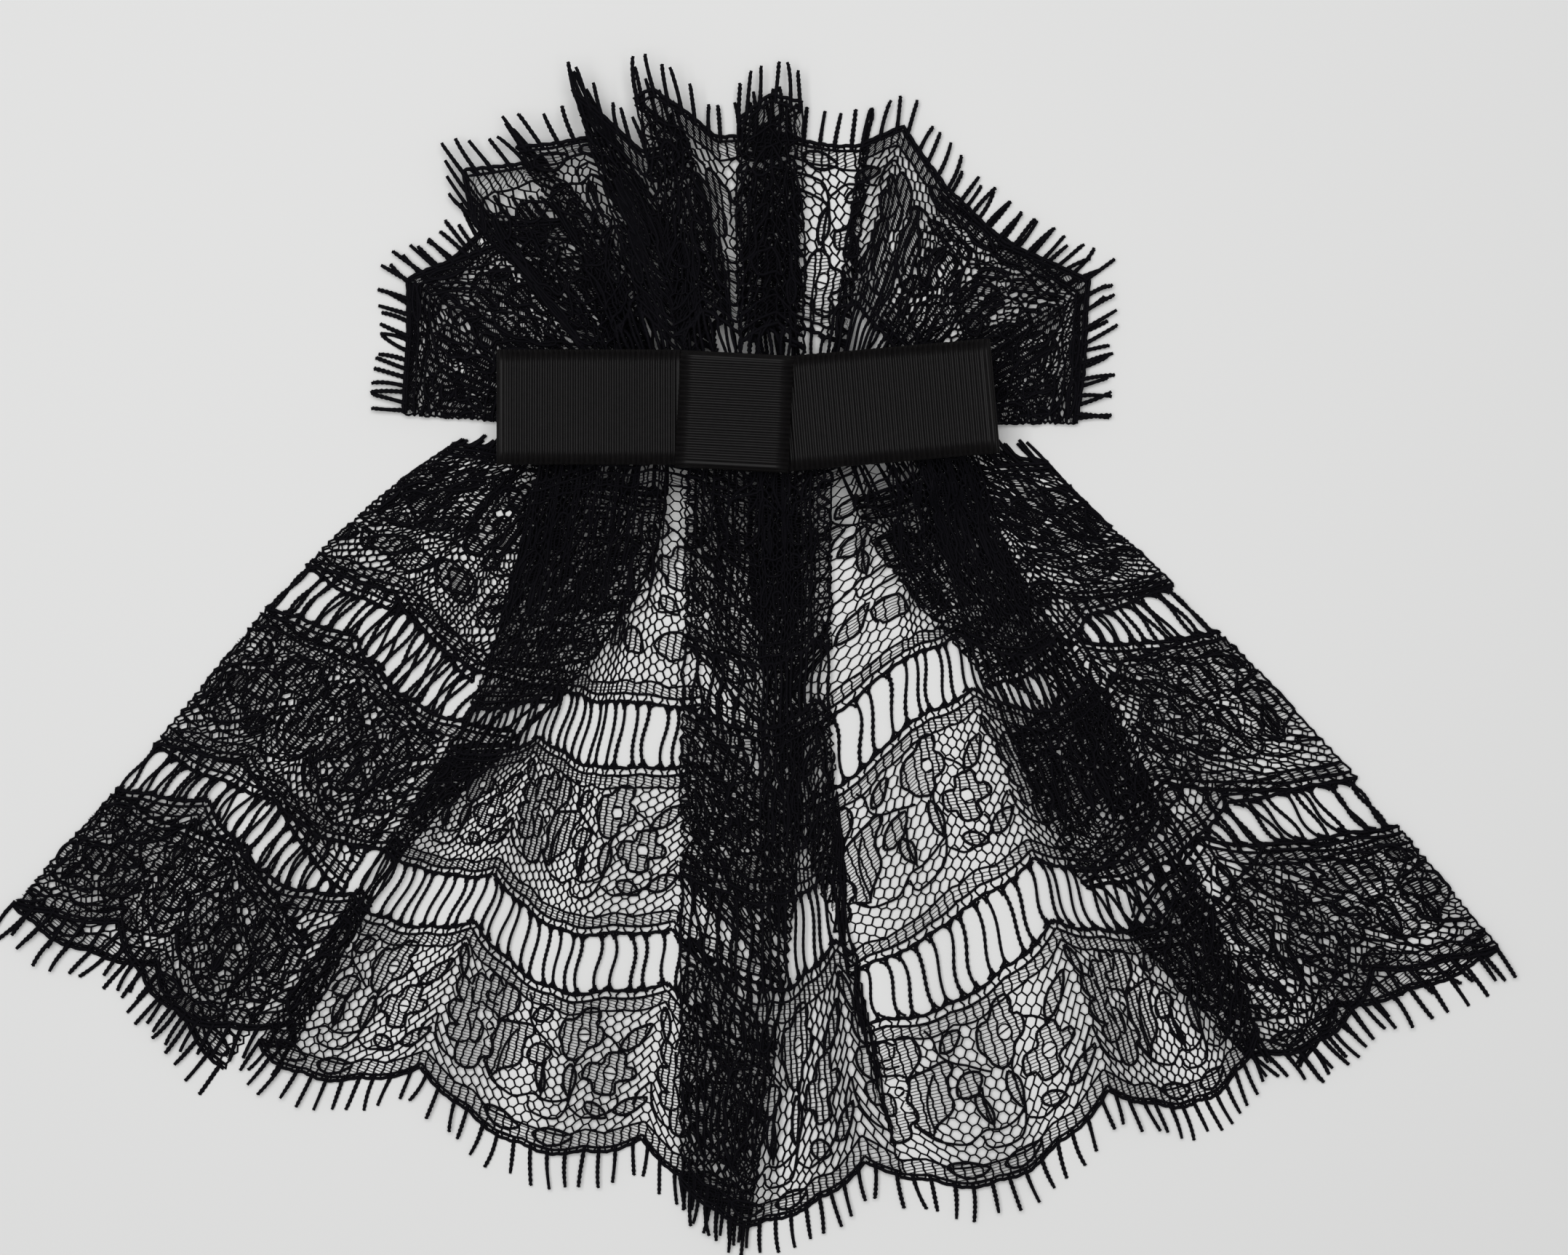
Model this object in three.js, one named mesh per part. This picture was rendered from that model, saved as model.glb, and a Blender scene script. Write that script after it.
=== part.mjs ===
import * as THREE from "three";
import { mergeVertices } from "three/addons/utils/BufferGeometryUtils.js";

// A lace head covering that lies flat: a pleated skirt of scalloped lace, a fanned crest of the same
// lace, an eyelash fringe on both hems, a flat grosgrain bow over the gathers, and a hair clip below.
// Millimetres, +Z up. The origin is the middle of the clip's underside, below the bow's knot.
// +Y points to the crest, and the skirt opens towards -Y.

// Driving sizes
const LACE_WALL = 1;
const LACE_GAP = 0.35;
const SKIRT_DEPTH = 150;
const CREST_DEPTH = 66;
const SCALLOP = { repeat: 52, drop: 9, roundness: 0.8 };
const RIPPLE = { length: 31, height: 0.7, from: 0.2 };
const LADDER = { bar: 2.4, lip: 0.5 };
const FRINGE = { length: 7.6, width: 1.15, height: 0.8, taper: 0.7, room: 3.5, droop: 0.6 };
const CLIP = { length: 62, width: 8, thick: 3, clear: 0.4, beside: 8, before: 4 };
const RIBBON = { width: 24, wall: 1 };
const BOW = { left: 49.5, right: 55, thick: 4, lean: 5, gap: 0.3, up: 0.6 };
const KNOT = { width: 24, height: 24.8, wall: 1, lean: -3, tongue: 18.4, heart: 1.6, squeeze: 0.4, round: 1.4 };

// The layers are sewn close together at the gather, where they also puff up below the bow, and lie
// free of each other further down.
const GATHER = { snug: 0.35, free: 34, puffDepth: 26, puffFrom: 25, puffTo: 60 };
const SKIRT_PUFF = 6.7;

// How finely the cloth is divided, and how it eases down beside what holds it up.
const GRID = { across: 9, nearFold: 2, wide: 14, pileCell: 1.5, reach: 4.5 };
const EASE = { passes: 3, slope: 0.5 };
const CREASE = { inset: 1, share: 0.4 };
const WELD = 1e-3;

// Fold lines of the skirt in the order of the cloth, from its left end to its right end. Each row
// gives the plan place [x, y] of the line at the depths named in SKIRT_STEPS, measured from the gather.
const SKIRT_STEPS = [0, 32, 65, 111.5, 150];
const SKIRT_ROWS = [0, 4, 20, 38, 58, 72, 88, 104.5, 118.5, 136];
const LADDER_ROWS = [4, 7];
const SKIRT_FOLDS = [
  { name: "left_end", at: [[-25, -5.2], [-41, -32], [-59, -63], [-84, -103], [-104, -133]] },
  { name: "left_edge", at: [[-58, -4.1], [-77, -18], [-97, -37], [-126, -72], [-149, -98]] },
  { name: "left_tuck", at: [[-13, -4.9], [-18, -33], [-38, -62], [-70, -93], [-80, -135]] },
  { name: "left_pleat", at: [[-41, -4.4], [-48, -36], [-58, -64], [-75, -92], [-87, -132]] },
  { name: "left_main", at: [[-17, -4.2], [-20, -34], [-25, -67], [-33, -113], [-38, -149]] },
  { name: "centre_tuck_left", at: [[6, -5.1], [6, -34], [13, -68], [12, -112], [5, -162]] },
  { name: "centre_fold_left", at: [[-11, -4], [-11, -35], [-12, -68], [-12, -114], [-12, -162]] },
  { name: "centre_mid", at: [[5, -4.3], [5, -35], [5, -68], [5, -115], [3, -164]] },
  { name: "centre_fold_right", at: [[21, -4.1], [21, -35], [21, -68], [26, -114], [35, -159]] },
  { name: "centre_tuck_right", at: [[12, -5], [12, -35], [12, -70], [22, -115], [34, -159]] },
  { name: "right_main", at: [[31, -4.3], [35, -33], [37, -65], [50, -115], [61, -153]] },
  { name: "right_pleat", at: [[50, -4.1], [60, -32], [77, -58], [98, -95], [105, -132]] },
  { name: "right_tuck", at: [[19, -5.1], [34, -31], [57, -53], [77, -93], [97, -134]] },
  { name: "right_edge", at: [[62, -4.9], [79, -22], [96, -38], [132, -76], [158, -107]] },
  { name: "right_end", at: [[36, -5.4], [52, -31], [68, -59], [88, -99], [116, -134]] },
];

// Where the scalloped hem comes closest to the gather, in fold numbers: 1.28 is a little past the
// left edge, on the way to the left tuck. The lobes hang between these.
const SKIRT_VALLEYS = [0.45, 1.28, 2, 4, 5.5, 7.78, 10.65, 12.65, 13.7];

// Panels between two true folds, in the order in which they are laid on the surface.
const SKIRT_PANELS = [
  { from: "left_end", to: "left_edge" },
  { from: "left_edge", to: "left_tuck" },
  { from: "left_tuck", to: "left_pleat" },
  { from: "left_pleat", to: "centre_tuck_left" },
  { from: "right_edge", to: "right_end" },
  { from: "right_tuck", to: "right_edge" },
  { from: "right_pleat", to: "right_tuck" },
  { from: "centre_tuck_right", to: "right_pleat" },
  { from: "centre_tuck_left", to: "centre_fold_left" },
  { from: "centre_fold_right", to: "centre_tuck_right" },
  { from: "centre_fold_left", to: "centre_fold_right" },
];

// Fold lines of the crest, from the end under its left side round to the end under its right side.
// lift is how far the hem stands off the surface there.
const CREST_STEPS = [0, 33, 66];
const CREST_ROWS = [0, 4, 18, 36, 52];
const CREST_FOLDS = [
  { name: "under_left_top", lift: 0, at: [[-24, 1.5], [-41, 24], [-54, 40]] },
  { name: "under_left", lift: 0, at: [[-34, 2.27], [-52, 14], [-68, 27]] },
  { name: "edge_left", lift: 0, at: [[-43, -2], [-58, -1], [-71, 0]] },
  { name: "corner_left", lift: 0, at: [[-34, 1.64], [-53, 17], [-70, 29]] },
  { name: "tuck_left", lift: 0, at: [[-24, 2.41], [-38, 24], [-49, 42]] },
  { name: "second_side", lift: 2, at: [[-25, 3.18], [-41, 24], [-56, 41]] },
  { name: "second_top", lift: 3, at: [[-23, 1.78], [-42, 29], [-58, 52]] },
  { name: "spike_a_tuck", lift: 3, at: [[-17, 2.55], [-29, 31], [-42, 53]] },
  { name: "spike_a", lift: 6, at: [[-20, 3.32], [-33, 33], [-47, 57]] },
  { name: "before_b", lift: 4, at: [[-14, 1.92], [-23, 32], [-33, 59]] },
  { name: "spike_b_tuck", lift: 4, at: [[-2, 2.69], [-10, 33], [-26, 60]] },
  { name: "spike_b", lift: 9, at: [[-15, 3.46], [-25, 38], [-36, 73]] },
  { name: "valley_bc", lift: 5, at: [[-8, 2.06], [-14, 31], [-20, 56]] },
  { name: "pleat_c_tuck", lift: 3, at: [[2, 2.83], [-3, 34], [-10, 59]] },
  { name: "pleat_c", lift: 7, at: [[-12, 3.6], [-15, 34], [-22, 69]] },
  { name: "pleat_c_top", lift: 7, at: [[-3, 2.2], [-8, 34], [-11, 66]] },
  { name: "gap", lift: 1, at: [[3, 2.97], [0, 31], [-4, 59]] },
  { name: "pleat_d_tuck_left", lift: 0, at: [[9, 1.57], [9, 31], [8, 59]] },
  { name: "pleat_d_left", lift: 3, at: [[1, 2.34], [1, 33], [3, 64]] },
  { name: "pleat_d_right", lift: 4, at: [[15, 3.11], [15, 34], [15, 68]] },
  { name: "pleat_d_tuck_right", lift: 0, at: [[8, 1.71], [9, 31], [10, 59]] },
  { name: "single", lift: 0, at: [[17, 2.48], [20, 31], [22, 58]] },
  { name: "crease_e_tuck", lift: 0, at: [[23, 3.25], [27, 34], [29, 58]] },
  { name: "crease_e", lift: 2, at: [[18, 1.85], [23, 34], [27, 58]] },
  { name: "peak", lift: 1, at: [[21, 2.62], [29, 34], [37, 64]] },
  { name: "crease_f", lift: 1, at: [[24, 3.39], [35, 28], [45, 48]] },
  { name: "top_right", lift: 0, at: [[31, 1.99], [45, 22], [58, 37]] },
  { name: "corner_right", lift: 0, at: [[40, 2.76], [59, 16], [76, 29]] },
  { name: "edge_right", lift: 0, at: [[45, -2], [61, -2], [73, -2]] },
  { name: "under_right", lift: 0, at: [[39, 2.13], [57, 15], [74, 26]] },
  { name: "under_right_top", lift: 0, at: [[23, 2.9], [34, 27], [44, 47]] },
];
const CREST_PANELS = [
  { from: "edge_right", to: "under_right_top" },
  { from: "pleat_d_tuck_right", to: "crease_e_tuck" },
  { from: "crease_e_tuck", to: "crease_e" },
  { from: "crease_e", to: "edge_right" },
  { from: "under_left_top", to: "edge_left" },
  { from: "edge_left", to: "tuck_left" },
  { from: "tuck_left", to: "second_side" },
  { from: "second_side", to: "spike_a_tuck" },
  { from: "spike_a_tuck", to: "spike_a" },
  { from: "spike_a", to: "spike_b_tuck" },
  { from: "spike_b_tuck", to: "spike_b" },
  { from: "spike_b", to: "pleat_c_tuck" },
  { from: "pleat_c_tuck", to: "pleat_c" },
  { from: "pleat_c", to: "pleat_d_tuck_left" },
  { from: "pleat_d_tuck_left", to: "pleat_d_left" },
  { from: "pleat_d_right", to: "pleat_d_tuck_right" },
  { from: "pleat_d_left", to: "pleat_d_right" },
];

const LACE_COLOUR = 0x1b1a20;
const RIBBON_COLOUR = 0x1f1c1d;
const CLIP_COLOUR = 0x2a2a2c;

const radians = THREE.MathUtils.degToRad;
const mix = (a, b, f) => a + (b - a) * f;
const smooth = (f) => f * f * (3 - 2 * f);
const clamp01 = (f) => Math.min(1, Math.max(0, f));

// A body from loose quads: corners in the same place are joined, and faces with no area are left out.
function bodyFrom(quads) {
  const places = [];
  for (const [a, b, c, d] of quads) {
    for (const p of [a, b, c, a, c, d]) places.push(p.x, p.y, p.z);
  }
  const loose = new THREE.BufferGeometry();
  loose.setAttribute("position", new THREE.Float32BufferAttribute(places, 3));
  const merged = mergeVertices(loose, WELD);
  const corners = merged.index.array;
  const faces = [];
  let volume = 0;
  const corner = (k) => new THREE.Vector3().fromBufferAttribute(merged.attributes.position, k);
  for (let i = 0; i < corners.length; i += 3) {
    const [a, b, c] = corners.subarray(i, i + 3);
    if (a === b || b === c || a === c) continue;
    faces.push(a, b, c);
    volume += corner(a).dot(corner(b).cross(corner(c)));
  }
  if (volume < 0) faces.reverse();
  merged.setIndex(faces);
  merged.computeVertexNormals();
  return merged;
}

// What already lies on the surface, as the height of the highest thing in each small square of it.
const pileTops = new Map();
const PILE_ROW = 4096;
const pileKey = (i, j) => i * PILE_ROW + j;

function layOnPile(x, y, top) {
  const key = pileKey(Math.round(x / GRID.pileCell), Math.round(y / GRID.pileCell));
  pileTops.set(key, Math.max(pileTops.get(key) ?? 0, top));
}

function pileTop(x, y, reach) {
  const span = Math.ceil(reach / GRID.pileCell);
  const ci = Math.round(x / GRID.pileCell);
  const cj = Math.round(y / GRID.pileCell);
  let highest = 0;
  for (let i = -span; i <= span; i += 1) {
    for (let j = -span; j <= span; j += 1) {
      if (Math.hypot(i, j) * GRID.pileCell > reach) continue;
      highest = Math.max(highest, pileTops.get(pileKey(ci + i, cj + j)) ?? 0);
    }
  }
  return highest;
}

function layGridOnPile(rows) {
  for (let j = 0; j + 1 < rows.length; j += 1) {
    for (let i = 0; i + 1 < rows[0].length; i += 1) {
      const [a, b, c, d] = [rows[j][i], rows[j][i + 1], rows[j + 1][i], rows[j + 1][i + 1]];
      const steps = Math.ceil(Math.max(a.distanceTo(b), a.distanceTo(c), c.distanceTo(d)));
      for (let m = 0; m <= steps; m += 1) {
        for (let n = 0; n <= steps; n += 1) {
          const near = a.clone().lerp(b, m / steps);
          const far = c.clone().lerp(d, m / steps);
          const p = near.lerp(far, n / steps);
          layOnPile(p.x, p.y, p.z + LACE_WALL);
        }
      }
    }
  }
}

const looseness = (t) => mix(GATHER.snug, 1, smooth(clamp01(t / GATHER.free)));

// A length of lace that hangs from its gather: where each spot of the cloth is in plan. A spot is
// named by u, its place in fold numbers across the cloth, and by its depth below the gather.
function makeCloth({ folds, steps, depth, puff, valleys, rowDepths }) {
  let run = 0;
  const hemRun = folds.map((fold, k) => {
    const [x, y] = fold.at.at(-1);
    const [px, py] = k ? folds[k - 1].at.at(-1) : [x, y];
    run += Math.hypot(x - px, y - py);
    return run;
  });
  const alongFold = (fold, t) => {
    const last = steps.length - 1;
    const found = steps.findIndex((step) => t <= step);
    const k = found < 0 ? last - 1 : Math.max(0, found - 1);
    const span = steps[k + 1] - steps[k];
    const f = (t - steps[k]) / span;
    const value = (axis) => {
      const p = (i) => fold.at[i][axis];
      const slope = (i) => {
        const a = Math.max(0, i - 1);
        const b = Math.min(last, i + 1);
        return ((p(b) - p(a)) / (steps[b] - steps[a])) * span;
      };
      if (f > 1) return p(k + 1) + slope(k + 1) * (f - 1);
      const [f2, f3] = [f * f, f * f * f];
      return (
        (2 * f3 - 3 * f2 + 1) * p(k) +
        (f3 - 2 * f2 + f) * slope(k) +
        (3 * f2 - 2 * f3) * p(k + 1) +
        (f3 - f2) * slope(k + 1)
      );
    };
    return [value(0), value(1)];
  };
  const segment = (u) => Math.min(Math.floor(u), folds.length - 2);
  const runAt = (u) => mix(hemRun[segment(u)], hemRun[segment(u) + 1], u - segment(u));
  const valleyRuns = valleys.map(runAt);
  if (valleyRuns.length) {
    valleyRuns.unshift(valleyRuns[0] - SCALLOP.repeat);
    valleyRuns.push(valleyRuns.at(-1) + SCALLOP.repeat);
  }
  const hemDepth = (u) => {
    if (!valleyRuns.length) return depth;
    const here = runAt(u);
    const k = Math.max(1, valleyRuns.findIndex((r) => r >= here));
    const share = (here - valleyRuns[k - 1]) / (valleyRuns[k] - valleyRuns[k - 1]);
    return depth + SCALLOP.drop * Math.abs(Math.sin(Math.PI * share)) ** SCALLOP.roundness;
  };
  const liftAt = (u, t) => {
    const k = segment(u);
    const lift = mix(folds[k].lift ?? 0, folds[k + 1].lift ?? 0, u - k);
    return lift * clamp01(t / depth) ** 2;
  };
  const place = (u, t) => {
    const k = segment(u);
    const [ax, ay] = alongFold(folds[k], t);
    const [bx, by] = alongFold(folds[k + 1], t);
    return new THREE.Vector3(mix(ax, bx, u - k), mix(ay, by, u - k), 0);
  };
  const index = Object.fromEntries(folds.map((fold, k) => [fold.name, k]));
  return { depth, puff, hemRun, hemDepth, liftAt, place, runAt, index, rowDepths };
}

// Places across a panel, in fold numbers, with an extra one close to the fold at each end.
function acrossPanel(cloth, first, last) {
  const width = cloth.hemRun[last] - cloth.hemRun[first];
  const places = [first];
  for (let k = first; k < last; k += 1) {
    const part = cloth.hemRun[k + 1] - cloth.hemRun[k];
    const cells = Math.max(1, Math.round(part / GRID.across));
    for (let i = 1; i <= cells; i += 1) places.push(k + i / cells);
  }
  if (width > GRID.wide) {
    const part = (k) => cloth.hemRun[k + 1] - cloth.hemRun[k];
    places.push(first + GRID.nearFold / part(first), last - GRID.nearFold / part(last - 1));
  }
  return places.sort((a, b) => a - b);
}

// The cloth passes over the clip with a little room.
function clipTop(p) {
  const beside = Math.abs(p.x) > CLIP.length / 2 + CLIP.beside;
  const before = Math.abs(p.y) > CLIP.width / 2 + CLIP.before;
  return beside || before ? 0 : CLIP.thick + CLIP.clear;
}

// How high the gathers puff up at a place: most at the seam in the middle.
function puffAt(cloth, p, t) {
  const beside = clamp01((Math.abs(p.x) - GATHER.puffFrom) / (GATHER.puffTo - GATHER.puffFrom));
  return cloth.puff * (1 - smooth(beside)) * (1 - smooth(clamp01(t / GATHER.puffDepth)));
}

// Lays one panel on the pile. Each point is on the underside of the wall.
function layPanel(cloth, panel) {
  const [first, last] = [cloth.index[panel.from], cloth.index[panel.to]].sort((a, b) => a - b);
  const across = acrossPanel(cloth, first, last);
  const rows = [...cloth.rowDepths, null].map((rowDepth) =>
    across.map((u) => {
      const t = rowDepth ?? cloth.hemDepth(u);
      const p = cloth.place(u, t);
      const under = pileTop(p.x, p.y, GRID.reach * looseness(t));
      const squeeze = LACE_GAP * looseness(t) - LACE_WALL * (1 - looseness(t));
      const rest = under > 0 ? under + squeeze : 0;
      const wave = RIPPLE.height * (1 - Math.cos((2 * Math.PI * cloth.runAt(u)) / RIPPLE.length));
      const ripple = wave * clamp01(t / cloth.depth - RIPPLE.from);
      p.z = Math.max(clipTop(p), puffAt(cloth, p, t), rest, cloth.liftAt(u, t), ripple);
      return p;
    }),
  );
  easeHeights(rows);
  layGridOnPile(rows);
  return { first, last, rows, lashes: layLashes(cloth, across, rows.at(-1)) };
}

// One lash leaves the middle of each cell of the hem that has room. It lies on what is below its
// outer part, or droops from a raised hem.
function layLashes(cloth, across, hem) {
  return across.slice(1).map((u, i) => {
    const middle = (across[i] + u) / 2;
    if (hem[i].distanceTo(hem[i + 1]) < FRINGE.room) return null;
    const edge = cloth.hemDepth(middle);
    const outward = cloth.place(middle, edge + 2).sub(cloth.place(middle, edge - 2)).normalize();
    const root = hem[i].clone().lerp(hem[i + 1], 0.5);
    const tip = root.clone().addScaledVector(outward, FRINGE.length);
    const under = Math.max(...[0.4, 0.7, 1].map((f) => {
      const p = root.clone().lerp(tip, f);
      return pileTop(p.x, p.y, GRID.pileCell);
    }));
    tip.z = Math.max(root.z * FRINGE.droop, under > 0 ? under + LACE_GAP : 0);
    layGridOnPile([[root, root], [tip, tip]]);
    return tip.sub(root);
  });
}

// Lets the cloth slope down gently beside what holds it up.
function easeHeights(rows) {
  const least = rows.map((row) => row.map((p) => p.z));
  for (let pass = 0; pass < EASE.passes; pass += 1) {
    const before = rows.map((row) => row.map((p) => p.z));
    rows.forEach((row, j) =>
      row.forEach((p, i) => {
        const beside = [before[j][i - 1], before[j][i + 1], before[j - 1]?.[i], before[j + 1]?.[i]];
        const known = beside.filter((z) => z !== undefined);
        const mean = known.reduce((sum, z) => sum + z, 0) / known.length;
        p.z = Math.max(least[j][i], mean - EASE.slope);
      }),
    );
  }
}

// Joins panels in the order of the cloth into one sheet with a wall. At a fold the outer face runs
// up from the lower panel's underside to the upper panel's top, and the inner faces meet in a crease.
function foldedSheet(panels) {
  const columns = [];
  panels.forEach((panel, n) => {
    const wide = panel.rows[0].length;
    for (let i = 0; i < wide; i += 1) {
      const faces = panel.rows.map((row) => {
        const [low, high] = [row[i].clone(), row[i].clone().setZ(row[i].z + LACE_WALL)];
        return n % 2 ? [low, high] : [high, low];
      });
      columns.push({ faces, panel, lash: panel.lashes[i] });
    }
    const next = panels[n + 1];
    if (!next) return;
    const [end, start] = [columns.at(-1), wide - 1];
    end.creaseWith = panel.rows.map((row, j) => {
      const here = row[start];
      const there = next.rows[j][0];
      const beside = row[start - 1];
      const inside = here.clone().lerp(beside, Math.min(CREASE.share, CREASE.inset / here.distanceTo(beside)));
      const below = Math.min(here.z, there.z) + LACE_WALL;
      return inside.setZ((below + Math.max(here.z, there.z)) / 2);
    });
  });
  columns.forEach((column, c) => {
    if (!column.creaseWith) return;
    const after = columns[c + 1];
    column.creaseWith.forEach((crease, j) => {
      const rises = after.panel.rows[j][0].z >= column.panel.rows[j].at(-1).z;
      const innerFace = rises === (column.faces[j][0].z > column.faces[j][1].z) ? 0 : 1;
      column.faces[j][innerFace] = crease;
      after.faces[j][innerFace] = crease;
    });
  });
  return columns;
}

// The quads of a folded sheet. A hole takes the middle out of a cell, and a lash grows from its rim.
function sheetQuads(columns, holeRows) {
  const quads = [];
  const lastRow = columns[0].faces.length - 1;
  for (let c = 0; c + 1 < columns.length; c += 1) {
    const [left, right] = [columns[c], columns[c + 1]];
    const flat = left.panel === right.panel;
    for (let j = 0; j < lastRow; j += 1) {
      const cell = [left.faces[j], right.faces[j], right.faces[j + 1], left.faces[j + 1]];
      if (flat && holeRows.includes(j) && holeFits(cell)) {
        quads.push(...holeQuads(cell));
        continue;
      }
      quads.push(cell.map((pair) => pair[0]));
      quads.push(cell.map((pair) => pair[1]).reverse());
    }
    const [hl, hr] = [left.faces[lastRow], right.faces[lastRow]];
    const rim = [hl[0], hr[0], hr[1], hl[1]];
    quads.push(...(flat && left.lash ? lashQuads(rim, left.lash) : [rim]));
    const [gl, gr] = [left.faces[0], right.faces[0]];
    quads.push([gr[0], gl[0], gl[1], gr[1]]);
  }
  for (const [column, turn] of [[columns[0], false], [columns.at(-1), true]]) {
    for (let j = 0; j < lastRow; j += 1) {
      const [near, far] = [column.faces[j], column.faces[j + 1]];
      const side = [near[0], far[0], far[1], near[1]];
      quads.push(turn ? side.reverse() : side);
    }
  }
  return quads;
}

const holeFits = (cell) =>
  Math.min(cell[0][0].distanceTo(cell[1][0]), cell[3][0].distanceTo(cell[2][0])) > LADDER.bar * 2;

function holeQuads(cell) {
  const [a, b, c, d] = cell;
  const spot = (face, across, down) => {
    const top = a[face].clone().lerp(b[face], across);
    const bottom = d[face].clone().lerp(c[face], across);
    return top.lerp(bottom, down);
  };
  const edge = LADDER.bar / 2 / a[0].distanceTo(b[0]);
  const lip = LADDER.lip / a[0].distanceTo(d[0]);
  const ring = [[edge, lip], [1 - edge, lip], [1 - edge, 1 - lip], [edge, 1 - lip]];
  const inner = [0, 1].map((face) => ring.map(([f, g]) => spot(face, f, g)));
  const quads = [];
  for (let k = 0; k < 4; k += 1) {
    const n = (k + 1) % 4;
    quads.push([cell[k][0], cell[n][0], inner[0][n], inner[0][k]]);
    quads.push([cell[k][1], inner[1][k], inner[1][n], cell[n][1]]);
    quads.push([inner[0][k], inner[0][n], inner[1][n], inner[1][k]]);
  }
  return quads;
}

function lashQuads(rim, way) {
  const middle = rim[0].clone().add(rim[1]).add(rim[2]).add(rim[3]).multiplyScalar(0.25);
  const along = rim[1].clone().sub(rim[0]).add(rim[2]).sub(rim[3]).normalize();
  const up = rim[3].clone().sub(rim[0]).normalize();
  const corners = [[-1, -1], [1, -1], [1, 1], [-1, 1]].map(([a, b]) => [(a * FRINGE.width) / 2, (b * FRINGE.height) / 2]);
  const root = corners.map(([a, b]) => middle.clone().addScaledVector(along, a).addScaledVector(up, b));
  const tip = root.map((p) => p.clone().sub(middle).multiplyScalar(FRINGE.taper).add(middle).add(way));
  const quads = [tip];
  for (let k = 0; k < 4; k += 1) {
    const n = (k + 1) % 4;
    quads.push([rim[k], rim[n], root[n], root[k]]);
    quads.push([root[k], root[n], tip[n], tip[k]]);
  }
  return quads;
}

// Lays all the panels of a cloth and gives its body.
function layCloth(shape, panels, holeRows) {
  const cloth = makeCloth(shape);
  const laid = panels.map((panel) => layPanel(cloth, panel)).sort((a, b) => a.first - b.first);
  return bodyFrom(sheetQuads(foldedSheet(laid), holeRows));
}

function hairClip() {
  const geometry = new THREE.BoxGeometry(CLIP.length, CLIP.width, CLIP.thick);
  return geometry.translate(0, 0, CLIP.thick / 2);
}

// A loop of the bow: a flattened ring of ribbon whose inner end is pinched to pass under the knot.
function bowLoop(reach, side, lean) {
  const turned = (KNOT.height * Math.sin(radians(KNOT.lean)) - RIBBON.width * Math.sin(radians(lean))) / 2;
  const shoulder = KNOT.width / 2 + Math.abs(turned) + BOW.gap;
  const waist = shoulder - KNOT.squeeze;
  const section = (inset) => {
    const r = BOW.thick / 2 - inset;
    const pinched = r - KNOT.squeeze;
    const arc = (x, radius, from) =>
      [0, 0.2, 0.4, 0.6, 0.8, 1].map((f) => {
        const turn = from + f * Math.PI;
        return new THREE.Vector2(x + radius * Math.cos(turn), radius * Math.sin(turn));
      });
    return [
      ...arc(reach - BOW.thick / 2, r, -Math.PI / 2),
      new THREE.Vector2(shoulder, r),
      new THREE.Vector2(waist, pinched),
      ...arc(KNOT.heart + BOW.thick / 2, pinched, Math.PI / 2),
      new THREE.Vector2(waist, -pinched),
      new THREE.Vector2(shoulder, -r),
    ];
  };
  const [outer, inner] = [section(0), section(RIBBON.wall)];
  const edges = outer.map((p, i) => {
    const half = (p.x < (waist + shoulder) / 2 ? KNOT.tongue : RIBBON.width) / 2;
    const at = ({ x, y }, across) => new THREE.Vector3(x * side, across * side, y);
    return [at(p, -half), at(p, half), at(inner[i], half), at(inner[i], -half)];
  });
  const quads = [];
  edges.forEach((here, i) => {
    const next = edges[(i + 1) % edges.length];
    for (let k = 0; k < 4; k += 1) quads.push([here[k], next[k], next[(k + 1) % 4], here[(k + 1) % 4]]);
  });
  return bodyFrom(quads);
}

function bowKnot() {
  const outline = (inset) => {
    const [w, h] = [KNOT.height / 2 - inset, BOW.thick / 2 - KNOT.squeeze + BOW.gap + KNOT.wall - inset];
    const r = Math.min(KNOT.round, h) - inset / 2;
    const path = new THREE.Path();
    path.absarc(w - r, h - r, r, 0, Math.PI / 2, false);
    path.absarc(-w + r, h - r, r, Math.PI / 2, Math.PI, false);
    path.absarc(-w + r, -h + r, r, Math.PI, (3 * Math.PI) / 2, false);
    path.absarc(w - r, -h + r, r, (3 * Math.PI) / 2, 2 * Math.PI, false);
    path.closePath();
    return path.getPoints(4);
  };
  const shape = new THREE.Shape(outline(0));
  shape.holes.push(new THREE.Path(outline(KNOT.wall)));
  const geometry = new THREE.ExtrudeGeometry(shape, { depth: KNOT.width, bevelEnabled: false });
  geometry.translate(0, 0, -KNOT.width / 2);
  return geometry.rotateX(Math.PI / 2).rotateZ(Math.PI / 2);
}

const laceFinish = () =>
  new THREE.MeshStandardMaterial({ color: LACE_COLOUR, roughness: 0.85, metalness: 0, side: THREE.DoubleSide });
const ribbonFinish = () => new THREE.MeshStandardMaterial({ color: RIBBON_COLOUR, roughness: 0.6, metalness: 0 });
const clipFinish = () => new THREE.MeshStandardMaterial({ color: CLIP_COLOUR, roughness: 0.35, metalness: 0.8 });

function named(name, geometry, material) {
  const mesh = new THREE.Mesh(geometry, material);
  mesh.name = name;
  return mesh;
}

const skirt = layCloth(
  {
    folds: SKIRT_FOLDS,
    steps: SKIRT_STEPS,
    depth: SKIRT_DEPTH,
    puff: SKIRT_PUFF,
    valleys: SKIRT_VALLEYS,
    rowDepths: SKIRT_ROWS,
  },
  SKIRT_PANELS,
  LADDER_ROWS,
);
const crest = layCloth(
  { folds: CREST_FOLDS, steps: CREST_STEPS, depth: CREST_DEPTH, puff: 0, valleys: [], rowDepths: CREST_ROWS },
  CREST_PANELS,
  [],
);

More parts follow.
